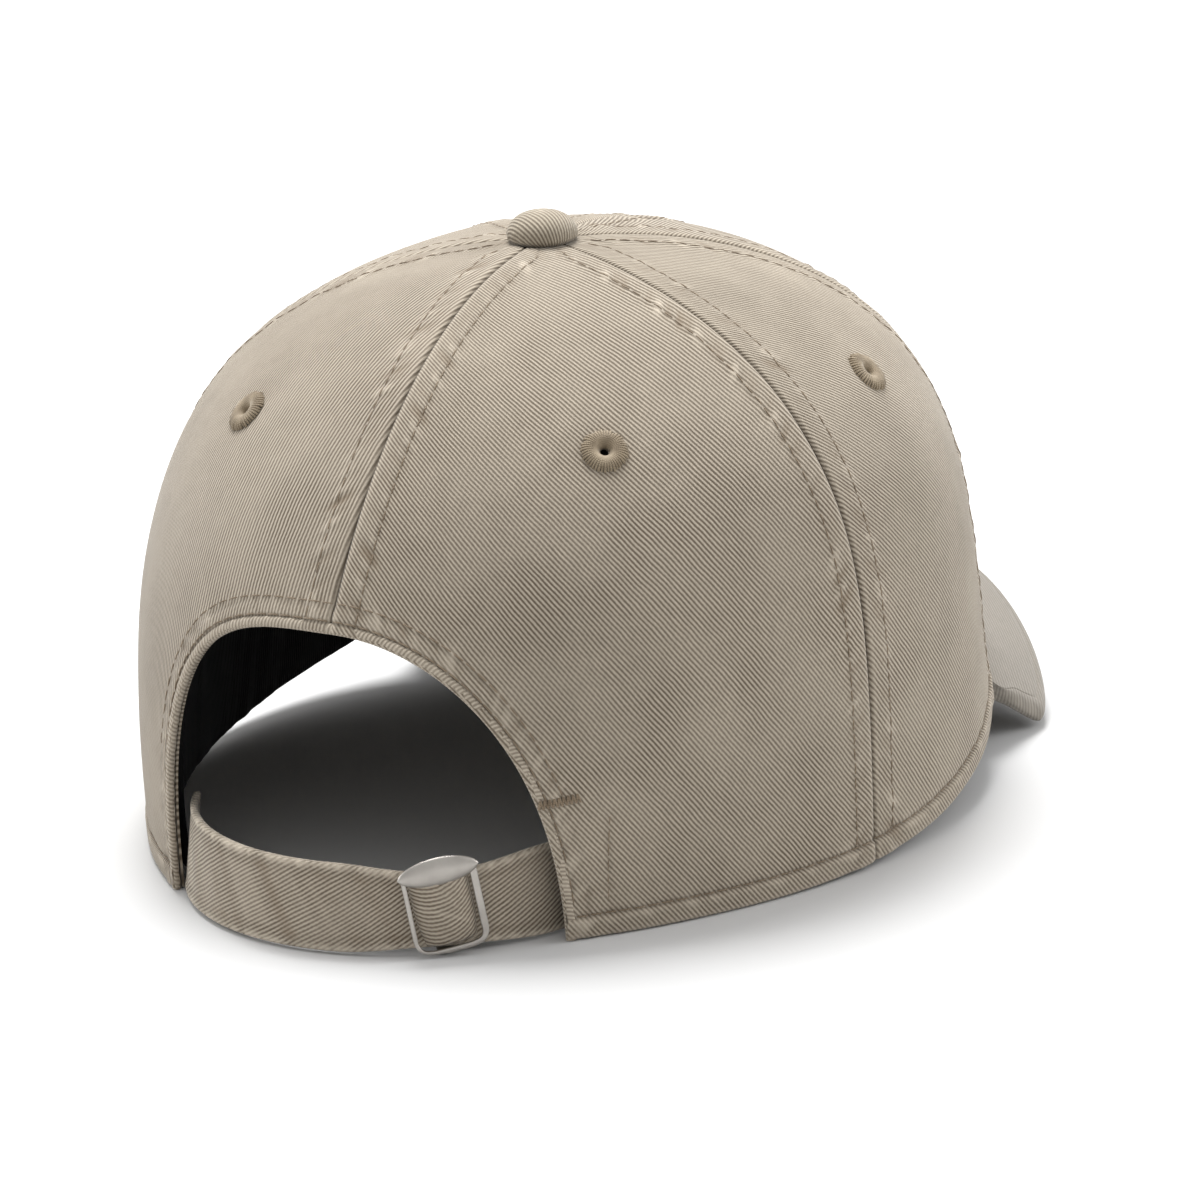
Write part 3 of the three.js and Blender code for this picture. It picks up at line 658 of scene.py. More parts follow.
def twill(name, rib, groove_shade, contrast=1.0, rib_height=0.00011):
    """Washed cotton twill: slanted ribs painted lit on their tops and shaded in their grooves, uneven
    yarns, faded ridges with painted highlights, and painted shade in creases.
    """
    f = Finish(name)
    weave = f.weave()
    parts = f.tree.nodes.new("ShaderNodeSeparateXYZ")
    f.join(parts.inputs[0], weave)
    drift = f.ramp(f.noise(weave, 0.12, 2.0), 0.3, 0.7, -0.16, 0.16)
    phase = f.math("ADD", f.math("DIVIDE", parts.outputs[0], RIB), drift)
    cord = f.ramp(f.math("COSINE", f.math("MULTIPLY", phase, 2 * math.pi)), -0.75, 0.7)
    step = f.math("MULTIPLY", f.math("FLOOR", phase), 0.38)
    stage = f.math("ADD", f.math("DIVIDE", parts.outputs[1], 1.1), step)
    floats = f.ramp(f.math("SINE", f.math("MULTIPLY", stage, 2 * math.pi)), -1.0, 1.0, 0.88, 1.0)
    yarn = f.ramp(f.noise(weave, 1.0, 4.0, (2.6, 0.35, 1)), 0.32, 0.68, 0.91, 1.06)
    cloudy = f.ramp(f.noise(f.place(), 26, 4.0), 0.3, 0.7, 0.93, 1.06)
    patchy = f.ramp(f.noise(f.place(), 70, 3.0), 0.35, 0.65, 0.75, 1.0)
    # The ribs' colour is a painted highlight and the grooves' colour painted shade, standing in for the
    # ribs' relief.
    share = f.math("MULTIPLY", f.math("SUBTRACT", 1.0, cord), f.math("MULTIPLY", patchy, contrast), True)
    colour = f.mix(share, rib, groove_shade)
    # The floats' step paints shade at the interlacings between yarn floats, following the same bump.
    tone = f.math("MULTIPLY", f.math("MULTIPLY", yarn, cloudy), floats)
    grey = f.add("ShaderNodeCombineColor", 0, {"Red": tone, "Green": tone, "Blue": tone})
    colour = f.mix(1.0, colour, grey, "MULTIPLY")
    # The wear mark paints the cloth lighter for faded wear and for painted highlights on pucker crests and
    # rolled edges, and darker with painted shade in hollows and grooves.
    faded_and_highlit = tuple(min(1.0, c * 1.22 + 0.02) for c in rib[:3]) + (1.0,)
    painted_shade = (groove_shade[0] * 1.15, groove_shade[1] * 1.05, groove_shade[2] * 0.92, 1.0)
    wear_and_shading = f.mark("wear_and_shading")
    colour = f.mix(f.ramp(wear_and_shading, 0.1, 1.1, 0.0, 0.75), colour, faded_and_highlit)
    colour = f.mix(f.ramp(wear_and_shading, -0.1, -1.1, 0.0, 0.62), colour, painted_shade)
    # Painted shade in creases, seam grooves, folds and where cloth runs under another part.
    shadowed = tuple(c * 0.5 for c in groove_shade[:3]) + (1.0,)
    colour = f.mix(f.math("MULTIPLY", f.mark("crease_shade"), 0.7), colour, shadowed)
    fuzz = f.noise(f.place(), 2600, 2.0)
    height = f.math("ADD", f.math("MULTIPLY", cord, floats), f.math("MULTIPLY", fuzz, 0.35))
    normal = f.bump(height, rib_height)
    return f.set(Base_Color=colour, Roughness=0.93, Sheen_Weight=0.18, Sheen_Roughness=0.45,
                 Specular_IOR_Level=0.18, Normal=normal)


def black_cloth(name):
    f = Finish(name)
    ribs = f.add("ShaderNodeTexWave", "Fac", {"Vector": f.weave(), "Scale": 0.55, "Distortion": 0.6})
    fuzz = f.noise(f.place(), 1500, 3.0)
    dusty = f.ramp(f.noise(f.place(), 35, 3.0), 0.35, 0.75, 0.0, 1.0)
    colour = f.mix(dusty, rgb(0.0042, 0.0042, 0.0045), rgb(0.0078, 0.0078, 0.0082))
    height = f.math("ADD", ribs, f.math("MULTIPLY", fuzz, 0.6))
    return f.set(Base_Color=colour, Roughness=0.85, Sheen_Weight=0.05, Specular_IOR_Level=0.2,
                 Normal=f.bump(height, 0.00008))


def interlining(name):
    f = Finish(name)
    inputs = {"Vector": f.weave(), "Scale": 0.5, "Distortion": 0.4}
    warp = f.add("ShaderNodeTexWave", "Fac", inputs)
    weft = f.add("ShaderNodeTexWave", "Fac", inputs, bands_direction="Y")
    grid = f.math("MAXIMUM", warp, weft)
    colour = f.mix(grid, rgb(0.42, 0.40, 0.35), rgb(0.66, 0.64, 0.58))
    return f.set(Base_Color=colour, Roughness=0.9, Specular_IOR_Level=0.2, Normal=f.bump(grid, 0.00015))


def thread(name, colour, dark):
    """Twisted sewing thread."""
    f = Finish(name)
    twist = f.add("ShaderNodeTexWave", "Fac", {"Vector": f.weave(), "Scale": 0.9, "Distortion": 0.5})
    uneven = f.ramp(f.noise(f.place(), 420, 3.0), 0.3, 0.7)
    tone = f.mix(f.math("MULTIPLY", uneven, 0.8), colour, dark)
    # Painted shade in the twist's grooves between the plies.
    tone = f.mix(f.ramp(twist, 0.0, 0.5, 0.45, 0.0), tone, dark)
    return f.set(Base_Color=tone, Roughness=0.72, Sheen_Weight=0.2, Specular_IOR_Level=0.3,
                 Normal=f.bump(twist, 0.00005))


def satin_metal(name):
    f = Finish(name)
    brushed = f.noise(f.place(), 900, 3.0, (1, 1, 0.12))
    scuffed = f.noise(f.place(), 160, 4.0)
    rough = f.ramp(f.math("ADD", brushed, scuffed), 0.7, 1.3, 0.34, 0.5)
    colour = f.mix(f.ramp(scuffed, 0.4, 0.7), rgb(0.40, 0.375, 0.345), rgb(0.48, 0.455, 0.42))
    return f.set(Base_Color=colour, Metallic=1.0, Roughness=rough, Normal=f.bump(brushed, 0.000012))


def board_plastic(name):
    f = Finish(name)
    specks = f.noise(f.place(), 500, 3.0)
    colour = f.mix(specks, rgb(0.66, 0.65, 0.61), rgb(0.74, 0.73, 0.7))
    return f.set(Base_Color=colour, Roughness=0.5, Normal=f.bump(specks, 0.00004))


def floor_paint(name):
    f = Finish(name)
    mottle = f.noise(f.place(), 3.0, 2.0)
    colour = f.mix(mottle, rgb(0.58, 0.58, 0.58), rgb(0.60, 0.60, 0.60))
    return f.set(Base_Color=colour, Roughness=0.8, Specular_IOR_Level=0.0)


# Each twill's first colour is its lit ribs and its second the painted shade in its grooves.
CLOTH = twill("washed_twill", rgb(0.43, 0.375, 0.30), rgb(0.135, 0.106, 0.076))
BUTTON_CLOTH = twill("button_twill", rgb(0.43, 0.375, 0.295), rgb(0.15, 0.12, 0.085), 1.0, 0.00016)
VISOR_TWILL = twill("visor_twill", rgb(0.235, 0.212, 0.18), rgb(0.16, 0.142, 0.118), 0.6, 0.00006)
LINING = black_cloth("black_lining")
BUCKRAM = interlining("front_interlining")
SEWING = thread("sewing_thread", rgb(0.25, 0.19, 0.125), rgb(0.14, 0.10, 0.063))
EYELET_THREAD = thread("eyelet_thread", rgb(0.33, 0.265, 0.18), rgb(0.16, 0.12, 0.075))
METAL = satin_metal("satin_metal")
BOARD = board_plastic("visor_board")


def dress(obj, material, body="crown", nodes=()):
    """Gives a piece its material and its body, and hides the CAD nodes that it stands for."""
    obj.data.materials.append(material)
    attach(obj, body)
    if nodes:
        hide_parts(*nodes)
    return obj


def cloth(obj, flat):
    """Returns the sheet as it is; its flat size in millimetres (a shaped cut has half the area of its two
    faces) is not used.
    """
    return obj


# ---- crown panels ----
def rows_up(middle):
    """Height fractions of a panel's rows, evenly spaced up its middle but closer at both ends."""
    rise = meridian_arc(middle, 1.0)
    share = even_height(np.linspace(0, 1, 400))
    return np.interp(spaced(rise, 1.25, NEAR_HEM) * rise, meridian_arc(middle, share), share)


def plain_grid(name):
    """Angles and heights over a side or front panel."""
    low, high = PANEL_SEAMS[name]
    foot = [float(seam_angle(seam, np.array(0.0))) for seam in (low, high)]
    span = (foot[1] - foot[0]) % (2 * math.pi)
    u = spaced(float(level_arc(foot[0], foot[0] + span, np.array(0.0))), 1.15, NEAR_SEAM)
    height = np.minimum(rows_up(foot[0] + span / 2), 1) * PANEL_TOP
    start = seam_angle(low, height)
    reach = (seam_angle(high, height) - start) % (2 * math.pi)
    return start[:, None] + reach[:, None] * u[None, :], np.repeat(height[:, None], len(u), 1)


def rear_grid(name):
    """Angles and heights over a rear panel: its columns start on the opening's edge and then on the hem."""
    sign = 1 if name == "rear_right" else -1
    angle, height = opening_path(0, min(sign, 0), max(sign, 0))
    if sign < 0:
        angle, height = -angle[::-1], height[::-1]
    first = 12                      # columns from here on keep the path's spacing
    near = np.linspace(0, angle[first], 40)[:-1]
    foot = np.concatenate([near, angle[first:]])
    foot_height = np.concatenate([np.interp(near, angle[:first + 1], height[:first + 1]), height[first:]])
    hem_length = float(level_arc(foot[-1], SIDE_REAR_SEAM, np.array(0.0)))
    hem = spaced(2 * hem_length, 1.15, NEAR_SEAM)
    hem = (hem[hem > 0.5] - 0.5) * 2
    foot = np.concatenate([foot, lerp(foot[-1], SIDE_REAR_SEAM, hem)])
    foot_height = np.concatenate([foot_height, 0 * hem])
    v = rows_up(REAR_MIDDLE)
    height = foot_height[None, :] + (PANEL_TOP - foot_height[None, :]) * v[:, None]
    angle = np.repeat(foot[None, :], len(v), 0)
    return (angle, height) if sign > 0 else (-angle[:, ::-1], height[:, ::-1])


def eyelet_hole(name, points):
    """The grid's cells that lie in a panel's eyelet hole."""
    inside = length_of(points - eyelet_centre(name)) < EYELET_HOLE + 0.9
    return inside[:-1, :-1] & inside[1:, :-1] & inside[:-1, 1:] & inside[1:, 1:]


def crown_panel(name):
    angle, height = rear_grid(name) if name in EDGE_LINES else plain_grid(name)
    relief, wear_and_shading, crease_shade = panel_relief(name, angle, height)
    middle = (angle[0, 0] + angle[0, -1]) / 2
    across = level_arc(middle, angle, np.minimum(height, 0.998))
    up = meridian_arc(middle, height)
    weave = woven(across, up, TWILL_SLANT[name])
    outer = under(angle, height, -relief)
    inner = under(angle, height, PANEL)
    hole = eyelet_hole(name, surface(angle, height))
    panel = shell(f"panel_{name}", outer, inner, weave, (wear_and_shading, crease_shade), hole)
    dress(panel, CLOTH, nodes=[f"crown_panel_{name}"])
    return cloth(panel, (np.ptp(across), np.ptp(up)))


def opening_roll():
    """The cloth rolled over the opening's edge, from corner to corner."""
    angle, height = opening_path(0, -1, 1, 0.8)
    points = surface(angle, height)
    normal = normal_at(angle, height)
    along = unit(np.gradient(points, axis=0))
    away = unit(np.cross(along, normal))
    away = away * np.sign(away[len(away) // 2, 2])
    s = lengths_along(points)
    turns = turns_round(18) + math.pi / 18
    cos, sin = np.cos(turns), np.sin(turns)
    past, proud = 0.25, 0.3         # beyond the cut edge, and off the panel's face
    reach = (EDGE_FOLD + past) / 2
    flat = signed_power(cos, 0.8) * reach + reach - past
    thick = (PANEL + proud + 0.1) / 2
    deep = signed_power(sin, 0.75) * thick + proud - thick
    bumps = 0.04 * wave(s, 3.4, 2)[:, None] * np.clip(sin, 0, 1)
    rings = points[:, None] + away[:, None] * flat[:, None] + normal[:, None] * (deep + bumps)[..., None]
    around = np.cumsum(np.hypot(np.diff(flat, append=flat[0]), np.diff(deep, append=deep[0])))
    wear_and_shading = 0.45 + 0.12 * wave(s, 5, 4)[:, None]
    roll = tube("rear_opening_roll", rings, woven(s[:, None], around, 72), (wear_and_shading, 0))
    dress(roll, CLOTH)
    return cloth(roll, (NARROWEST, s[-1]))


def opening_facing():
    t = np.linspace(-1, 1, 220)
    margins = np.linspace(0.6, FACING_WIDTH, 9)
    angle, height = np.array([opening_at(t, margin) for margin in margins]).swapaxes(0, 1)
    outer = under(angle, height, LAYER)
    inner = under(angle, height, LAYER + TAPE)
    length = run_length(outer[4])
    weave = woven(t * length / 2, margins[:, None], 45)
    facing = shell("rear_opening_facing_cloth", outer, inner, weave)
    dress(facing, CLOTH, nodes=["rear_opening_facing"])
    return cloth(facing, (NARROWEST, length))


# ---- stitching ----
def stitch_line(name, angle, height, lift=0.0):
    """Points on a panel's stitched outer face, with their outward directions."""
    relief = panel_relief(name, angle, height)[0]
    return under(angle, height, -(relief + lift)), normal_at(angle, height)


def seam_stitches(seam):
    """The two rows beside a seam, from its foot to the button."""
    lines = []
    for name, seams in PANEL_SEAMS.items():
        if seam not in seams:
            continue
        side = 1 if seams[0] == seam else -1
        low = (OPENING_HEIGHT + 1.5) / CROWN_HEIGHT if seam == "back" else (FOLD + 0.4) / CROWN_HEIGHT
        height = lerp(low, 0.9955, even_height(np.linspace(0, 1, 260)))
        angle = seam_angle(seam, height)
        places = surface(angle, height)
        reach = np.hypot(places[:, 0], places[:, 1] - APEX_SHIFT)
        angle = angle + side * row_offset(reach) / speed_around(angle, height)
        lines.append(stitch_line(name, angle, height))
    return dress(stitched(f"topstitch_{seam}", lines), SEWING)


def hem_stitches():
    lines = []
    for name, (low, high) in PANEL_SEAMS.items():
        start, end = (float(seam_angle(seam, np.array(0.0))) for seam in (low, high))
        if name == "rear_right":
            start = HEM_ROW_RIGHT
        if name == "rear_left":
            end = HEM_ROW_LEFT
        end = start + (end - start) % (2 * math.pi)
        angle = np.linspace(start, end, 160)
        height = (FOLD + 0.35) / (CROWN_HEIGHT - hem_height(angle))
        lines.append(stitch_line(name, angle, height, 0.1))
    return dress(stitched("topstitch_hem", lines), SEWING)


def opening_stitches():
    """Two rows round the opening's edge, and the upright row at its right corner."""
    lines = []
    for margin in (EDGE_FOLD, EDGE_ROW):
        for name, start, end in (("rear_left", -1, 0), ("rear_right", 0, 1)):
            angle, height = opening_path(margin, start, end)
            low = (TACK_HEIGHT if margin == EDGE_ROW else FOLD) / CROWN_HEIGHT
            kept = height > low
            lines.append(stitch_line(name, angle[kept], height[kept], 0.12 if margin == EDGE_FOLD else 0))
    height = np.linspace(TACK_HEIGHT - 3, FOLD, 40) / CROWN_HEIGHT
    angle = angle_for_arc(np.full(40, OPENING_RIGHT[0] + CORNER_ROW), height)
    lines.append(stitch_line("rear_right", angle, height))
    return dress(stitched("topstitch_rear_opening", lines), SEWING)


def bar_tack():
    """A dense run of short threads from the opening's edge to the upright row."""
    height = np.full(18, TACK_HEIGHT / CROWN_HEIGHT) + np.linspace(0, 0.006, 18)
    edge = opening_edge(OPENING_RIGHT, np.linspace(0.5, 1, 200))
    start = np.interp(-height[0], -edge[1], edge[0])
    angle = start + np.linspace(0.4, CORNER_ROW - 0.4, 18) / speed_around(start, height[0])
    centres, facing = stitch_line("rear_right", angle, height, 0.1)
    up = unit(np.cross(facing, unit(np.gradient(centres, axis=0))))
    along = unit(np.gradient(centres, axis=0))
    paths, normals = [], []
    for k, (centre, out) in enumerate(zip(centres, facing)):
        lean = 0.25 * (-1) ** k
        s = np.array((-0.8, -0.65, 0, 0.65, 0.8))[:, None]
        arch = np.array((-0.25, 0.1, 0.22, 0.1, -0.25))[:, None]
        paths.append(centre + s * up[k] + lean * s * along[k] + arch * out)
        normals.append(np.repeat(out[None], 5, 0))
    tack = cords("bar_tack", np.array(paths), np.array(normals), 0.26)
    return dress(tack, SEWING)


# ---- eyelets ----
def eyelet(name):
    """Thread wound radially over the edge of a hole."""
    angle = np.array(rad(EYELETS[name]))
    centre = under(angle, np.array(EYELET_AT), 0.15)
    out = normal_at(angle, np.array(EYELET_AT))
    side = unit(np.cross((0, 0, 1), out))
    up = np.cross(out, side)
    count = 44
    turns = np.arange(count) * 2 * math.pi / count
    stray = 0.22 * wave(turns * 10, 3.1, EYELETS[name])
    radii = np.array((EYELET_RADIUS + 0.1, EYELET_RADIUS - 0.15, 3.6, 2.7, 1.9, 1.35, EYELET_HOLE))
    heights = np.array((-0.25, 0.25, 0.72, 0.85, 0.62, 0.1, -0.75))
    grow = np.array((1, 1, 0.4, 0, 0, 0, 0))
    reach = radii + stray[:, None] * grow
    way = np.cos(turns)[:, None] * side + np.sin(turns)[:, None] * up
    paths = centre + reach[..., None] * way[:, None, :] + heights[:, None] * out
    facing = np.broadcast_to(out, paths.shape)
    threads = cords(f"eyelet_thread_{name}", paths, facing, 0.27)
    dress(threads, EYELET_THREAD, nodes=[f"eyelet_{name}"])
    profile = [(EYELET_HOLE + 0.15, -PANEL - 0.7), (EYELET_HOLE + 0.15, 0.05), (1.9, 0.5), (2.8, 0.68),
               (3.7, 0.52), (4.15, 0.0), (3.9, -0.2), (EYELET_RADIUS - 1.8, -0.3),
               (EYELET_RADIUS - 1.8, -PANEL - 0.1), (3.8, -PANEL - 0.15), (3.8, -PANEL - 0.7)]
    ring_turns = turns_round(40)
    ring_way = np.cos(ring_turns)[:, None] * side + np.sin(ring_turns)[:, None] * up
    rings = np.array([centre + r * ring_way + z * out for r, z in profile])
    weave = stacked(ring_turns * 6, 1.0 + 0 * rings[..., 2])
    core = tube(f"eyelet_core_{name}", rings, weave, closed=True)
    dress(core, EYELET_THREAD)


# ---- top button ----
def top_button():
    base = np.array((0, APEX_SHIFT, CROWN_HEIGHT + 0.3))
    turn = np.linspace(0.01, math.pi / 2, 26)
    outer = [(BUTTON_RADIUS * np.sin(t) ** 0.8, 0.9 + (BUTTON_HEIGHT - 0.9) * np.cos(t)) for t in turn]
    outer += [(BUTTON_RADIUS - 0.05, 0.5), (BUTTON_RADIUS - 0.35, 0.1), (BUTTON_RADIUS - 0.8, -0.35)]
    inner = [(r * 0.88, z - 0.75) for r, z in outer[:-3][::-1]]
    profile = np.array(outer + [(BUTTON_RADIUS - 1.2, -0.1)] + inner)
    lengths = lengths_along(profile)
    around = turns_round(96)
    gather = 0.07 * np.cos(around * 23 + 2 * np.sin(around * 3))
    gather = gather * smooth(profile[:, :1], 5.0, 7.0) * (profile[:, 1:] < 2.2)
    r = profile[:, :1] * (1 + gather / BUTTON_RADIUS)
    rings = base + stacked(r * np.cos(around), r * np.sin(around), profile[:, 1:])
    x, y = lengths[:, None] * np.cos(around), lengths[:, None] * np.sin(around)
    weave = woven(x, y, -152)
    # The button is painted lighter towards the middle of its top, and its foot gets painted shade where it
    # meets the crown.
    wear_and_shading = 0.25 * smooth(lengths, 3, 0)[:, None]
    crease_shade = 0.7 * dip(profile[:, 1:], -0.3, 0.5)
    cover = tube("button_cloth", rings, weave, (wear_and_shading, crease_shade))
    dress(cover, BUTTON_CLOTH, nodes=["button_cover"])
    width = 2 * lengths[len(outer) - 1]
    return cloth(cover, (width, width))


# ---- inside the crown ----
def front_stiffener(name):
    seams = PANEL_SEAMS[name]
    v = np.linspace(0.02, 0.7, 50)[:, None]
    u = np.linspace(0, 1, 40)[None, :]
    inset = rad(5)
    start = seam_angle(seams[0], v) + inset
    span = (seam_angle(seams[1], v) - inset - start) % (2 * math.pi)
    angle = start + span * u
    across = level_arc(rad(EYELETS[name]) % (2 * math.pi), angle, v)
    up = meridian_arc(rad(EYELETS[name]), v)
    outer = under(angle, v, LAYER)
    inner = under(angle, v, LAYER + STIFFENER)
    piece = shell(f"stiffener_{name}", outer, inner, stacked(across, up))
    dress(piece, BUCKRAM, nodes=[f"front_stiffener_{name.removeprefix('front_')}"])
    return cloth(piece, (np.ptp(across), np.ptp(up)))


def seam_tape(name, ends, low_from, level, front_depth=0.0):
    """A tape up one seam, under the crown's top and down the opposite seam."""
    climb = np.append(even_height(np.linspace(0, 1, 90)[:-1]), 0.997)
    paths = []
    for seam, low in zip(ends, (low_from, 0.02)):
        height = lerp(low, 1, climb)
        angle = seam_angle(seam, height)
        apart = length_of(surface(angle, height) - (0, APEX_SHIFT, CROWN_HEIGHT))
        crossing = level * (TAPE + EASE) * (1 - smooth(apart, 26, 42))
        pushed = front_depth * smooth(np.abs(angle), rad(150), rad(170)) * (1 - smooth(height, 0.72, 0.8))
        paths.append((under(angle, height, LAYER + 0.2 + crossing + pushed), normal_at(angle, height)))
    points = np.concatenate([paths[0][0], paths[1][0][::-1]])
    normal = np.concatenate([paths[0][1], paths[1][1][::-1]])
    along = unit(np.gradient(points, axis=0))
    across = unit(np.cross(along, normal))
    down = unit(np.cross(along, across))
    down = down * -np.sign((down * normal).sum(1))[:, None]
    u = np.linspace(-0.5, 0.5, 11)
    bow = TAPE_WIDTH**2 / TAPE_BOW * (2 * u) ** 2
    outer = points[:, None] + across[:, None] * (u * TAPE_WIDTH)[:, None]
    outer = outer + down[:, None] * bow[:, None]
    inner = outer + down[:, None] * TAPE
    s = lengths_along(points)
    tape = shell(f"{name}_cloth", outer, inner, stacked(u * TAPE_WIDTH, s[:, None]))
    dress(tape, LINING, nodes=[name])
    return cloth(tape, (TAPE_WIDTH, s[-1]))


def hem_band(name, start, end, low, tall, depth, thick, ripple=0.0):
    """A band round the inside of the hem and its length; the ripple draws it in along its length."""
    angle = np.linspace(start, end, 420)[None, :]
    v = np.concatenate([(0, 0.004, 0.012), np.linspace(0.03, 0.97, 24), (0.988, 0.996, 1)])[:, None]
    hem = hem_height(angle)
    height = (low + tall * v) / (CROWN_HEIGHT - hem)
    edge = thick / 2 * np.clip(1 - np.minimum(v, 1 - v) / 0.012, 0, 1) ** 2
    s = angle * HALF_WIDTH
    soft = ripple * (wave(s, 17, 5) * (0.4 + 0.6 * v) + 0.5 * wave(s + 9 * v, 7, 8))
    outer = under(angle, height, depth + edge)
    inner = under(angle, height, depth + thick + np.maximum(soft, -0.1) - edge)
    return shell(name, outer, inner, stacked(s, tall * v)), run_length(outer[14])


def sweatband():
    """The black band that bears on the head, the piping along its top and the padding behind it."""
    band, length = hem_band("sweatband_cloth", BAND_FROM, BAND_TO, BAND_LOW, BAND_HEIGHT,
                            BAND_DEPTH, BAND, 0.35)
    dress(band, LINING, nodes=["sweatband"])
    cloth(band, (BAND_HEIGHT, length))
    above = BAND_LOW + BAND_HEIGHT + 0.3
    piping, length = hem_band("sweatband_piping_cloth", BAND_FROM, BAND_TO, above, PIPING,
                              BAND_DEPTH - 0.3, BAND + 0.6)
    dress(piping, LINING, nodes=["sweatband_piping"])
    cloth(piping, (NARROWEST, length))
    pad, _ = hem_band("sweatband_pad", rad(72), rad(288), 3, 26, PAD_DEPTH, PAD)
    dress(pad, BUCKRAM, nodes=["sweatband_padding"])


# ---- visor ----
def visor_point(u, v, depth, inset):
    """u runs from the crown to the visor's edge, v from the wearer's right corner round to the left."""
    turn = lerp(-VISOR_TURN, math.pi + VISOR_TURN, v)
    cos, sin = np.cos(turn), np.sin(turn)
    reach = np.where(sin < 0, VISOR_BACK, VISOR_REACH - inset)
    edge_x = -(VISOR_HALF - inset) * signed_power(cos, 2 / VISOR_POWER)
    edge_y = VISOR_LINE - reach * signed_power(sin, 2 / VISOR_POWER)
    root_x, root_y = hem_plan(lerp(VISOR_ROOT, 2 * math.pi - VISOR_ROOT, v))
    grow = 1 + VISOR_GAP / np.hypot(root_x, root_y)
    x, y = lerp(root_x * grow, edge_x, u), lerp(root_y * grow, edge_y, u)
    slope = x / np.sqrt(VISOR_RADIUS**2 - x**2)
    up = unit(stacked(slope, -VISOR_SLOPE, 1.0))
    return np.stack([x, y, visor_height(x, y)], -1) - up * depth[..., None]


def visor_cover(name, node, upper):
    """One face of the visor, rolled round its edge to the middle of its thickness."""
    half = VISOR_THICK / 2
    near = np.linspace(0, 0.03, 12)[:-1]
    v = np.concatenate([near, np.linspace(0.03, 0.97, 220), 1 - near[::-1]])[None, :]
    roll = np.linspace(0, math.pi / 2, 10)[1:]
    flat = np.linspace(0, 1, 60)
    u = np.concatenate([flat, 1 + 0 * roll])[:, None]
    faces = []
    for offset in (0.0, VISOR_CLOTH):
        radius = half - offset
        ends = smooth(np.minimum(v, 1 - v), 0, 0.03)
        inset = np.concatenate([half + 0 * flat, half - radius * np.sin(roll)])[:, None] * ends
        drop = np.concatenate([offset + 0 * flat, half - radius * np.cos(roll)])[:, None]
        soft = 0.0
        if offset == 0:
            soft = 0.12 * wave(v * VISOR_SPAN, 34, 3) * np.sin(math.pi * np.minimum(u, 1))
            soft = soft - 0.15 * dip(u, 0.94, 0.02)
        depth = drop if upper else VISOR_THICK - drop
        depth = depth - soft * (1 if upper else -1)
        faces.append(visor_point(u, v, depth, inset))
    outer, inner = faces
    weave = woven(outer[..., 0], outer[..., 1], 48)
    bead = np.concatenate([0 * flat, roll])[:, None]
    # The rolled edge is lighter, with faded wear and a painted highlight, and a painted shade runs where
    # the two covers meet.
    wear_and_shading = 0.35 * smooth(bead, 0.2, 1.2) + 0.25 * wave(v * VISOR_SPAN, 9, 2) * dip(u, 1, 0.05)
    crease_shade = 0.35 * dip(bead, math.pi / 2, 0.12)
    cover = shell(name, outer, inner, weave, (wear_and_shading, crease_shade))
    dress(cover, VISOR_TWILL, nodes=[node])
    middle = outer[:, v.size // 2]
    behind = 0.25 * 2 * HALF_WIDTH  # how far its ends run back beside the crown
    deep = length_of(middle[-1] - middle[0]) + behind
    return cloth(cover, (deep, run_length(outer[flat.size // 2])))


# ---- strap, tab and buckle ----
def strap_radius(z):
    return STRAP_RADIUS - STRAP_LEAN * z


def on_arc(degrees, radius, z):
    angle = np.radians(degrees)
    return stacked(-radius * np.sin(angle), STRAP_CENTRE + radius * np.cos(angle), z)


def rounded_section(tall, thick, count):
    """Heights and depths round a flat strip's outline; the depth is 0 at its face and thick at its back."""
    corner = thick / 2
    rise = np.linspace(0, 1, count)
    edge = np.linspace(0, math.pi, 7)[1:-1]
    up = corner + (tall - 2 * corner) * rise
    bulge, turned = corner * np.sin(edge), corner * np.cos(edge)
    z = np.concatenate([up, tall - corner + bulge, up[::-1], corner - bulge])
    depth = np.concatenate([0 * up, corner - turned, thick + 0 * up, corner + turned])
    return z, depth


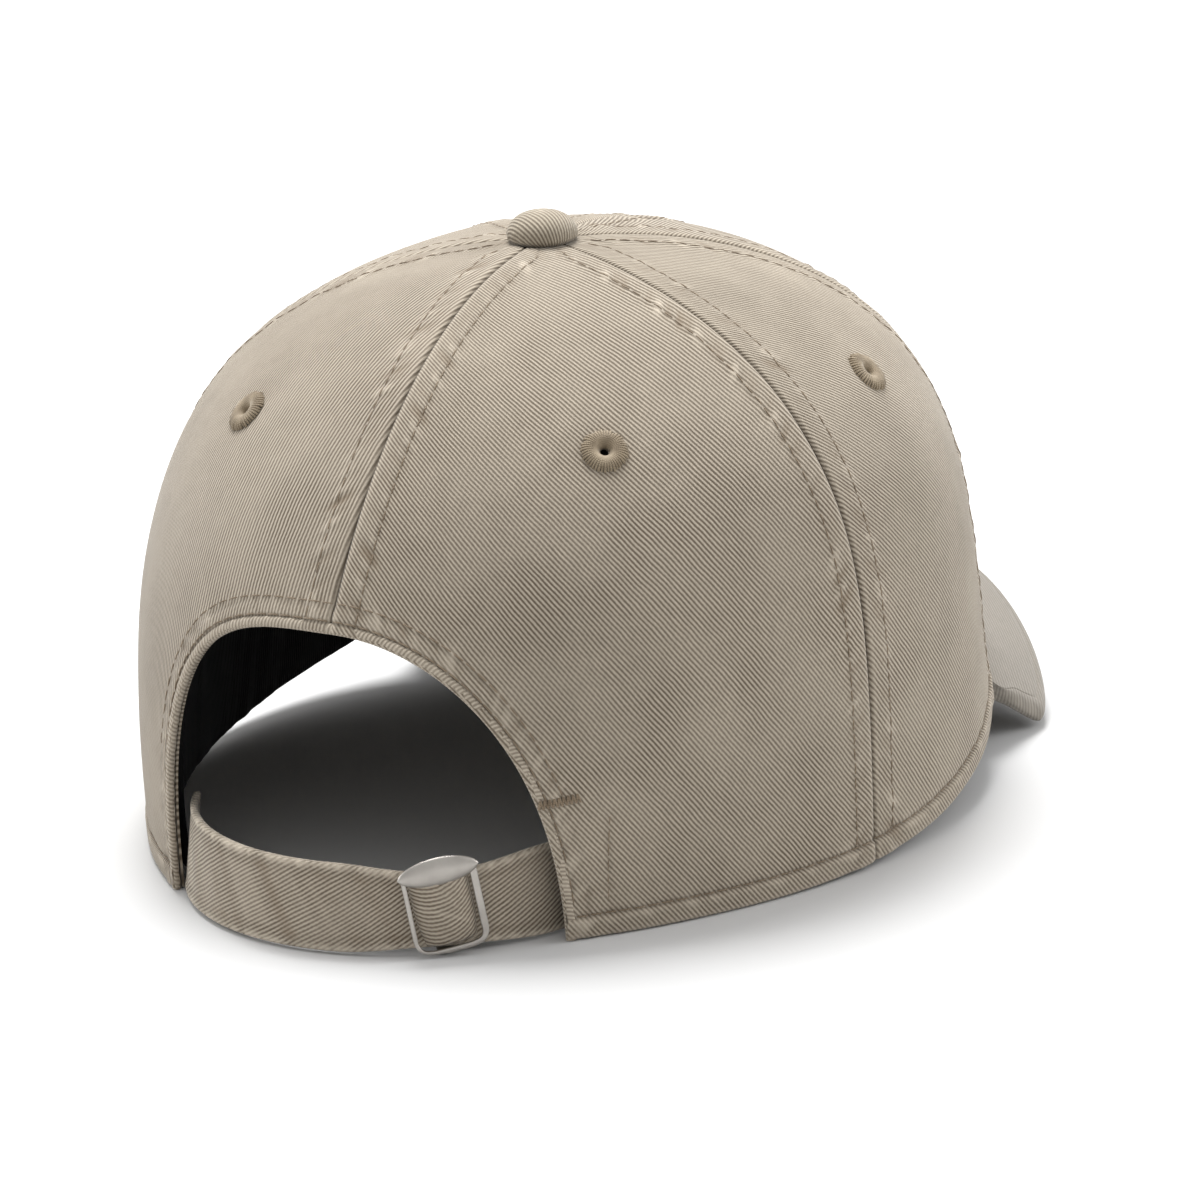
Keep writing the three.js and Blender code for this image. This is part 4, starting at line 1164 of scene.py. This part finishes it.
def strap():
    """A folded band of twill from inside one rear corner to the other, through the buckle."""
    degrees = np.linspace(STRAP_LEFT_END, STRAP_RIGHT_END, 150)
    away = smooth(np.abs(degrees - BUCKLE_AT), 4, 28)
    tall = lerp(STRAP_WAIST_HEIGHT + 0.4, STRAP_END_HEIGHT, away)
    low = lerp(STRAP_WAIST_LOW, STRAP_LOW, away)
    free = smooth(degrees, -56, -48) * (1 - smooth(degrees, 24, 30))
    rings, weaves, wear_and_shading_rings, crease_shades = [], [], [], []
    for k, turn in enumerate(degrees):
        z, depth = rounded_section(tall[k], STRAP, 17)
        s = np.radians(turn) * STRAP_RADIUS
        from_edge = np.minimum(z, tall[k] - z)
        face = depth < STRAP / 2
        bead = 0.16 * (1 - smooth(from_edge, 1.3, 2.0)) - 0.14 * dip(from_edge, 2.1, 0.4)
        fold = 0.28 * wave(s + 0.5 * z, 15, 6) * free[k] * np.sin(math.pi * np.clip(z / tall[k], 0, 1))
        lift = np.where(face, bead + fold, 0)
        level = low[k] + z
        rings.append(on_arc(turn, strap_radius(level) - depth + lift, level))
        weaves.append(woven(s, z + np.where(face, 0, 0.6), -30))
        patch = wave(s + 0.6 * z, 9, 11)
        rope = 0.75 + 0.35 * wave(s, 2.2, 4)
        # The edges are lighter with wear, with a painted shade along the stitched groove inside them.
        edge_wear_and_shade = rope * dip(from_edge, 0.5, 0.9) - 0.4 * dip(from_edge, 2.3, 0.6)
        wear_and_shading_rings.append(0.4 * patch * free[k] + edge_wear_and_shade)
        # Painted shade in the stitched groove.
        crease_shades.append(0.35 * dip(from_edge, 2.1, 0.4) * face)
    band = tube("strap_cloth", np.array(rings), np.array(weaves), (wear_and_shading_rings, crease_shades))
    dress(band, CLOTH, "strap", ["strap"])
    return cloth(band, (STRAP_END_HEIGHT, rad(STRAP_RIGHT_END - STRAP_LEFT_END) * STRAP_RADIUS))


def buckle_middle():
    return STRAP_WAIST_LOW + STRAP_WAIST_HEIGHT / 2


def leaning(local):
    """The buckle's front hangs askew on its bar, with its top to the wearer's left."""
    middle = BUCKLE_TOP / 2
    raised = 0.75
    cos, sin = math.cos(BUCKLE_LEAN), math.sin(BUCKLE_LEAN)
    x, y, z = np.moveaxis(local - (0, 0, middle), -1, 0)
    return np.stack([x * cos - z * sin, y, x * sin + z * cos + middle + raised], -1)


def from_buckle(local):
    """Buckle coordinates (x along the strap to the wearer's right, y inward, z up) to the crown's frame."""
    turn = rad(BUCKLE_AT) + math.pi
    place = on_arc(BUCKLE_AT, strap_radius(buckle_middle()) - BAR_DEPTH, 0.0)
    x, y, z = np.moveaxis(local, -1, 0)
    cos, sin = math.cos(turn), math.sin(turn)
    return np.stack([x * cos - y * sin, x * sin + y * cos, z], -1) + place


def sweep(path, wide, thick, facing=(0, -1, 0), sides=16, square=0.55):
    """Rings of a rounded bar along a path; wide is across the path and thick along the facing direction."""
    along = unit(np.gradient(path, axis=0))
    front = unit(np.broadcast_to(facing, path.shape) - along * (along * np.array(facing)).sum(1)[:, None])
    beside = np.cross(along, front)
    turns = turns_round(sides) + 0.01
    wide = np.broadcast_to(wide, (len(path),))[:, None, None]
    width = beside[:, None] * signed_power(np.cos(turns), square)[:, None] * wide / 2
    depth = front[:, None] * signed_power(np.sin(turns), square)[:, None] * thick / 2
    return path[:, None] + width + depth


def metal_piece(name, rings, nodes=()):
    weave = stacked(np.arange(len(rings))[:, None] + 0 * rings[..., 0], 0)
    return dress(tube(name, from_buckle(rings), weave, sharp=40), METAL, "buckle", nodes)


def buckle_plate(face, half):
    """The lens-shaped plate across the buckle's top."""
    x = np.linspace(-1, 1, 41)[:, None]
    span = np.sqrt(np.maximum(1 - x**2, 0.0004))
    thick = 0.35 + 0.75 * span
    tall = 2.75 * span**1.25 + 0.12
    cos, sin = np.cos(turns_round(32)), np.sin(turns_round(32))
    bulge = thick * signed_power(cos, 1.15) * np.where(cos > 0, 1.0, 0.45)
    plate = stacked(x * (half + 0.5), face - 0.35 - bulge, BUCKLE_TOP - 2.9 + tall * sin)
    metal_piece("buckle_plate", leaning(plate), ["buckle"])


def buckle_frame(face, half):
    """Two rails and a bowed bottom bar, bent from one length."""
    left, right = -half + 0.5, half - 0.75
    bottom = 0.85
    corner = 2.4
    bend = np.linspace(0, math.pi / 2, 10)
    down = np.linspace(BUCKLE_TOP - 2.6, bottom + corner, 16)
    run = np.linspace(left + corner, right - corner, 18)[1:-1]
    bow = 1 - ((run - (left + right) / 2) / ((right - left) / 2)) ** 2
    frame_x = np.concatenate([left + 0 * down[:-1], left + corner - corner * np.cos(bend), run,
                              right - corner + corner * np.sin(bend), right + 0 * down[1:]])
    frame_z = np.concatenate([down[:-1], bottom + corner - corner * np.sin(bend), bottom - 0.25 * bow,
                              bottom + corner - corner * np.cos(bend), down[::-1][1:]])
    low = smooth(-frame_z, -5.0, -1.0)
    path = stacked(frame_x, face - 0.9 * low, frame_z)
    wide = lerp(0.95, 1.5, smooth(frame_x, left + 1, right - 1)) * lerp(1.0, 0.75, low)
    metal_piece("buckle_frame", leaning(sweep(path, wide, 0.95)))


def buckle():
    """A top plate and a frame in front of the strap, and the bar behind it on two arms."""
    face = -(BAR_DEPTH + 1.0 + 0.55)
    buckle_plate(face, BUCKLE_WIDTH / 2)
    buckle_frame(face, BUCKLE_WIDTH / 2)
    bar = stacked(0, 0, np.linspace(0.8, BUCKLE_TOP - 2.4, 14))
    metal_piece("buckle_bar", sweep(bar, 2 * BAR_RADIUS, 2 * BAR_RADIUS, square=1.0))
    for name, z in (("low", 0.75), ("high", BUCKLE_TOP - 2.5)):
        arm = stacked(0, np.linspace(0.5, face, 8), z)
        metal_piece(f"buckle_arm_{name}", sweep(arm, 3.6, 0.9, facing=(0, 0, 1)))


def window_cloth():
    """The strap's cloth where it rounds the bar and swells out of the buckle's window."""
    u = np.linspace(-1, 1, 34)[None, :]
    v = np.linspace(0, 1, 46)[:, None]
    low, high = 1.25, BUCKLE_TOP - 2.4
    half = lerp(5.2, 5.85, smooth(v, 0.0, 0.4))
    x = -0.4 + u * half + 0.3 * (1 - v)
    z = lerp(low, high, v) + 0.6 * (1 - v) ** 2 * u**2
    round_side = np.sqrt(np.clip(1 - np.abs(u) ** 3.2, 0, 1))
    round_foot = np.sqrt(np.clip(1 - (1 - np.minimum(v / 0.28, 1)) ** 2.2, 0, 1))
    folds = 0.16 * wave(u * 3 + 4 * v, 1.9, 3) * round_side + 0.22 * dip(v, 0.9 - 0.08 * u**2, 0.05)
    swell_out = 2.35 * round_side * lerp(0.45, 1, round_foot) * lerp(1, 0.86, v) + folds * round_foot
    face = -(BAR_DEPTH + 0.25)
    outer = from_buckle(leaning(stacked(x, face - swell_out - 0.05, z)))
    inner = from_buckle(leaning(stacked(x, face, z)))
    smile = 0.07 * (x - 1.5) ** 2
    weave = woven(x, z - smile, -24)
    # The fold under the plate is painted lighter; the sides, where the cloth tucks under the rails, get
    # painted shade.
    wear_and_shading = 0.5 * dip(v, 0.92, 0.06) + 0.3 * wave(x + 2 * z, 6, 2) * round_side - 0.5 * (1 - round_side)
    # Painted shade under the plate and along the sides.
    crease_shade = 0.6 * dip(v, 1.0, 0.03) + 0.3 * dip(np.abs(u), 1, 0.06)
    patch = shell("buckle_window_cloth", outer, inner, weave, (wear_and_shading, crease_shade))
    dress(patch, CLOTH, "buckle")
    return cloth(patch, (14, high - low + 4))


def buckle_tab():
    """The fixed tab that holds the bar: a flat band whose end wraps round it."""
    low = STRAP_WAIST_LOW + 0.8
    tall = STRAP_WAIST_HEIGHT - 2
    radius = strap_radius(buckle_middle()) - STRAP - 0.8
    degrees = np.linspace(BUCKLE_AT + 1.2, STRAP_RIGHT_END - 5, 60)
    near = 1 - smooth(np.linspace(0, 1, 60), 0, 0.16)
    rings, weaves = [], []
    for turn, closeness in zip(degrees, near):
        z, depth = rounded_section(tall, TAB, 11)
        drop = closeness * (EYE_RADIUS - 1.35)
        rings.append(on_arc(turn, radius - drop - depth, low + z))
        weaves.append(woven(np.radians(turn) * radius, z, -30))
    band = tube("buckle_tab_cloth", np.array(rings), np.array(weaves))
    dress(band, CLOTH, "crown", ["buckle_tab"])
    length = np.radians(degrees[-1] - degrees[0]) * radius
    turns = turns_round(32)
    profile = [(BAR_RADIUS + 0.3, low + 0.3), (BAR_RADIUS + 0.3, low + tall - 0.3), (1.5, low + tall),
               (EYE_RADIUS - 0.05, low + tall - 0.4), (EYE_RADIUS - 0.05, low + 0.4), (1.5, low)]
    loop = np.array([stacked(r * np.cos(turns), r * np.sin(turns), z) for r, z in profile])
    weave = stacked(turns * EYE_RADIUS, loop[..., 2])
    eye = tube("buckle_tab_eye", from_buckle(loop), weave, closed=True)
    dress(eye, CLOTH, "crown")
    return cloth(band, (tall, length))


# ---- the studio ----
def floor():
    mesh = bpy.data.meshes.new("studio_floor")
    reach = 40.0
    below = -0.0002
    corners = [(x * reach, y * reach, below) for x, y in ((-1, -1), (1, -1), (1, 1), (-1, 1))]
    mesh.from_pydata(corners, [], [(0, 1, 2, 3)])
    mesh.materials.append(floor_paint("studio_floor"))
    linked("studio_floor", mesh)


def soft_light(name, place, aim, size, power):
    light = bpy.data.lights.new(name, "AREA")
    light.shape = "SQUARE"
    light.size = size
    light.energy = power
    obj = linked(name, light)
    obj.location = place
    obj.rotation_euler = (Vector(aim) - Vector(place)).to_track_quat("-Z", "Y").to_euler()


def studio():
    floor()
    world = bpy.data.worlds.new("studio_air")
    world.use_nodes = True
    background = world.node_tree.nodes["Background"].inputs
    background["Color"].default_value = (1, 1, 1, 1)
    background["Strength"].default_value = 0.72
    bpy.context.scene.world = world
    hem, crown = (0, 0.02, 0), (0, 0.02, 0.05)
    soft_light("key", (0.4, -0.5, 1.5), hem, size=0.8, power=40)
    soft_light("left_side", (1.1, 0.5, 0.55), crown, size=0.7, power=5)
    soft_light("right_side", (-1.0, -0.6, 0.6), crown, size=0.7, power=7)
    bpy.context.scene.view_settings.view_transform = "Standard"


CAMERA_PLACE = Vector((-0.7054, 1.2094, 0.4776))
CAMERA_AIM = Vector((-0.0111, 0.0175, 0.0417))
CAMERA_ROLL = rad(-2.386)
CAMERA_LENS = 214.1
SENSOR = 36


def camera():
    """The photographer's place: behind the cap, to the wearer's right and a little above."""
    lens = bpy.data.cameras.new("camera")
    lens.lens = CAMERA_LENS
    lens.sensor_width = SENSOR
    lens.clip_start = 0.05
    lens.clip_end = 200
    obj = linked("camera", lens)
    ahead = (CAMERA_AIM - CAMERA_PLACE).normalized()
    level = ahead.cross(Vector((0, 0, 1))).normalized()
    above = level.cross(ahead)
    right = level * math.cos(CAMERA_ROLL) + above * math.sin(CAMERA_ROLL)
    up = above * math.cos(CAMERA_ROLL) - level * math.sin(CAMERA_ROLL)
    turned = Matrix((right, up, -ahead)).transposed()
    obj.matrix_world = Matrix.Translation(CAMERA_PLACE) @ turned.to_4x4()
    bpy.context.scene.camera = obj


# ---- the cap ----
def crown_cloth():
    for name in PANEL_SEAMS:
        crown_panel(name)
        eyelet(name)
    for seam in SEAMS:
        seam_stitches(seam)
    hem_stitches()
    opening_stitches()
    bar_tack()
    opening_roll()
    opening_facing()
    top_button()


def inside():
    front_stiffener("front_right")
    front_stiffener("front_left")
    above_opening = (OPENING_HEIGHT + FACING_WIDTH + 1) / CROWN_HEIGHT
    seam_tape("seam_tape_center", ("back", "front"), above_opening, 0, STIFFENER + EASE)
    seam_tape("seam_tape_rear_left_to_front_right", ("rear_left", "front_right"), 0.02, 1)
    seam_tape("seam_tape_rear_right_to_front_left", ("rear_right", "front_left"), 0.02, 2)
    sweatband()


def carried_over():
    """CAD nodes whose shape is right keep it and get a better finish."""
    for node, material in (("button_shell", METAL), ("button_rivet", METAL), ("visor_board", BOARD)):
        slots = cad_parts[node].data.materials
        slots.clear()
        slots.append(material)


crown_cloth()
inside()
carried_over()
visor_cover("visor_top_cloth", "visor_top_cover", True)
visor_cover("visor_under_cloth", "visor_under_cover", False)
strap()
buckle()
window_cloth()
buckle_tab()
studio()
camera()
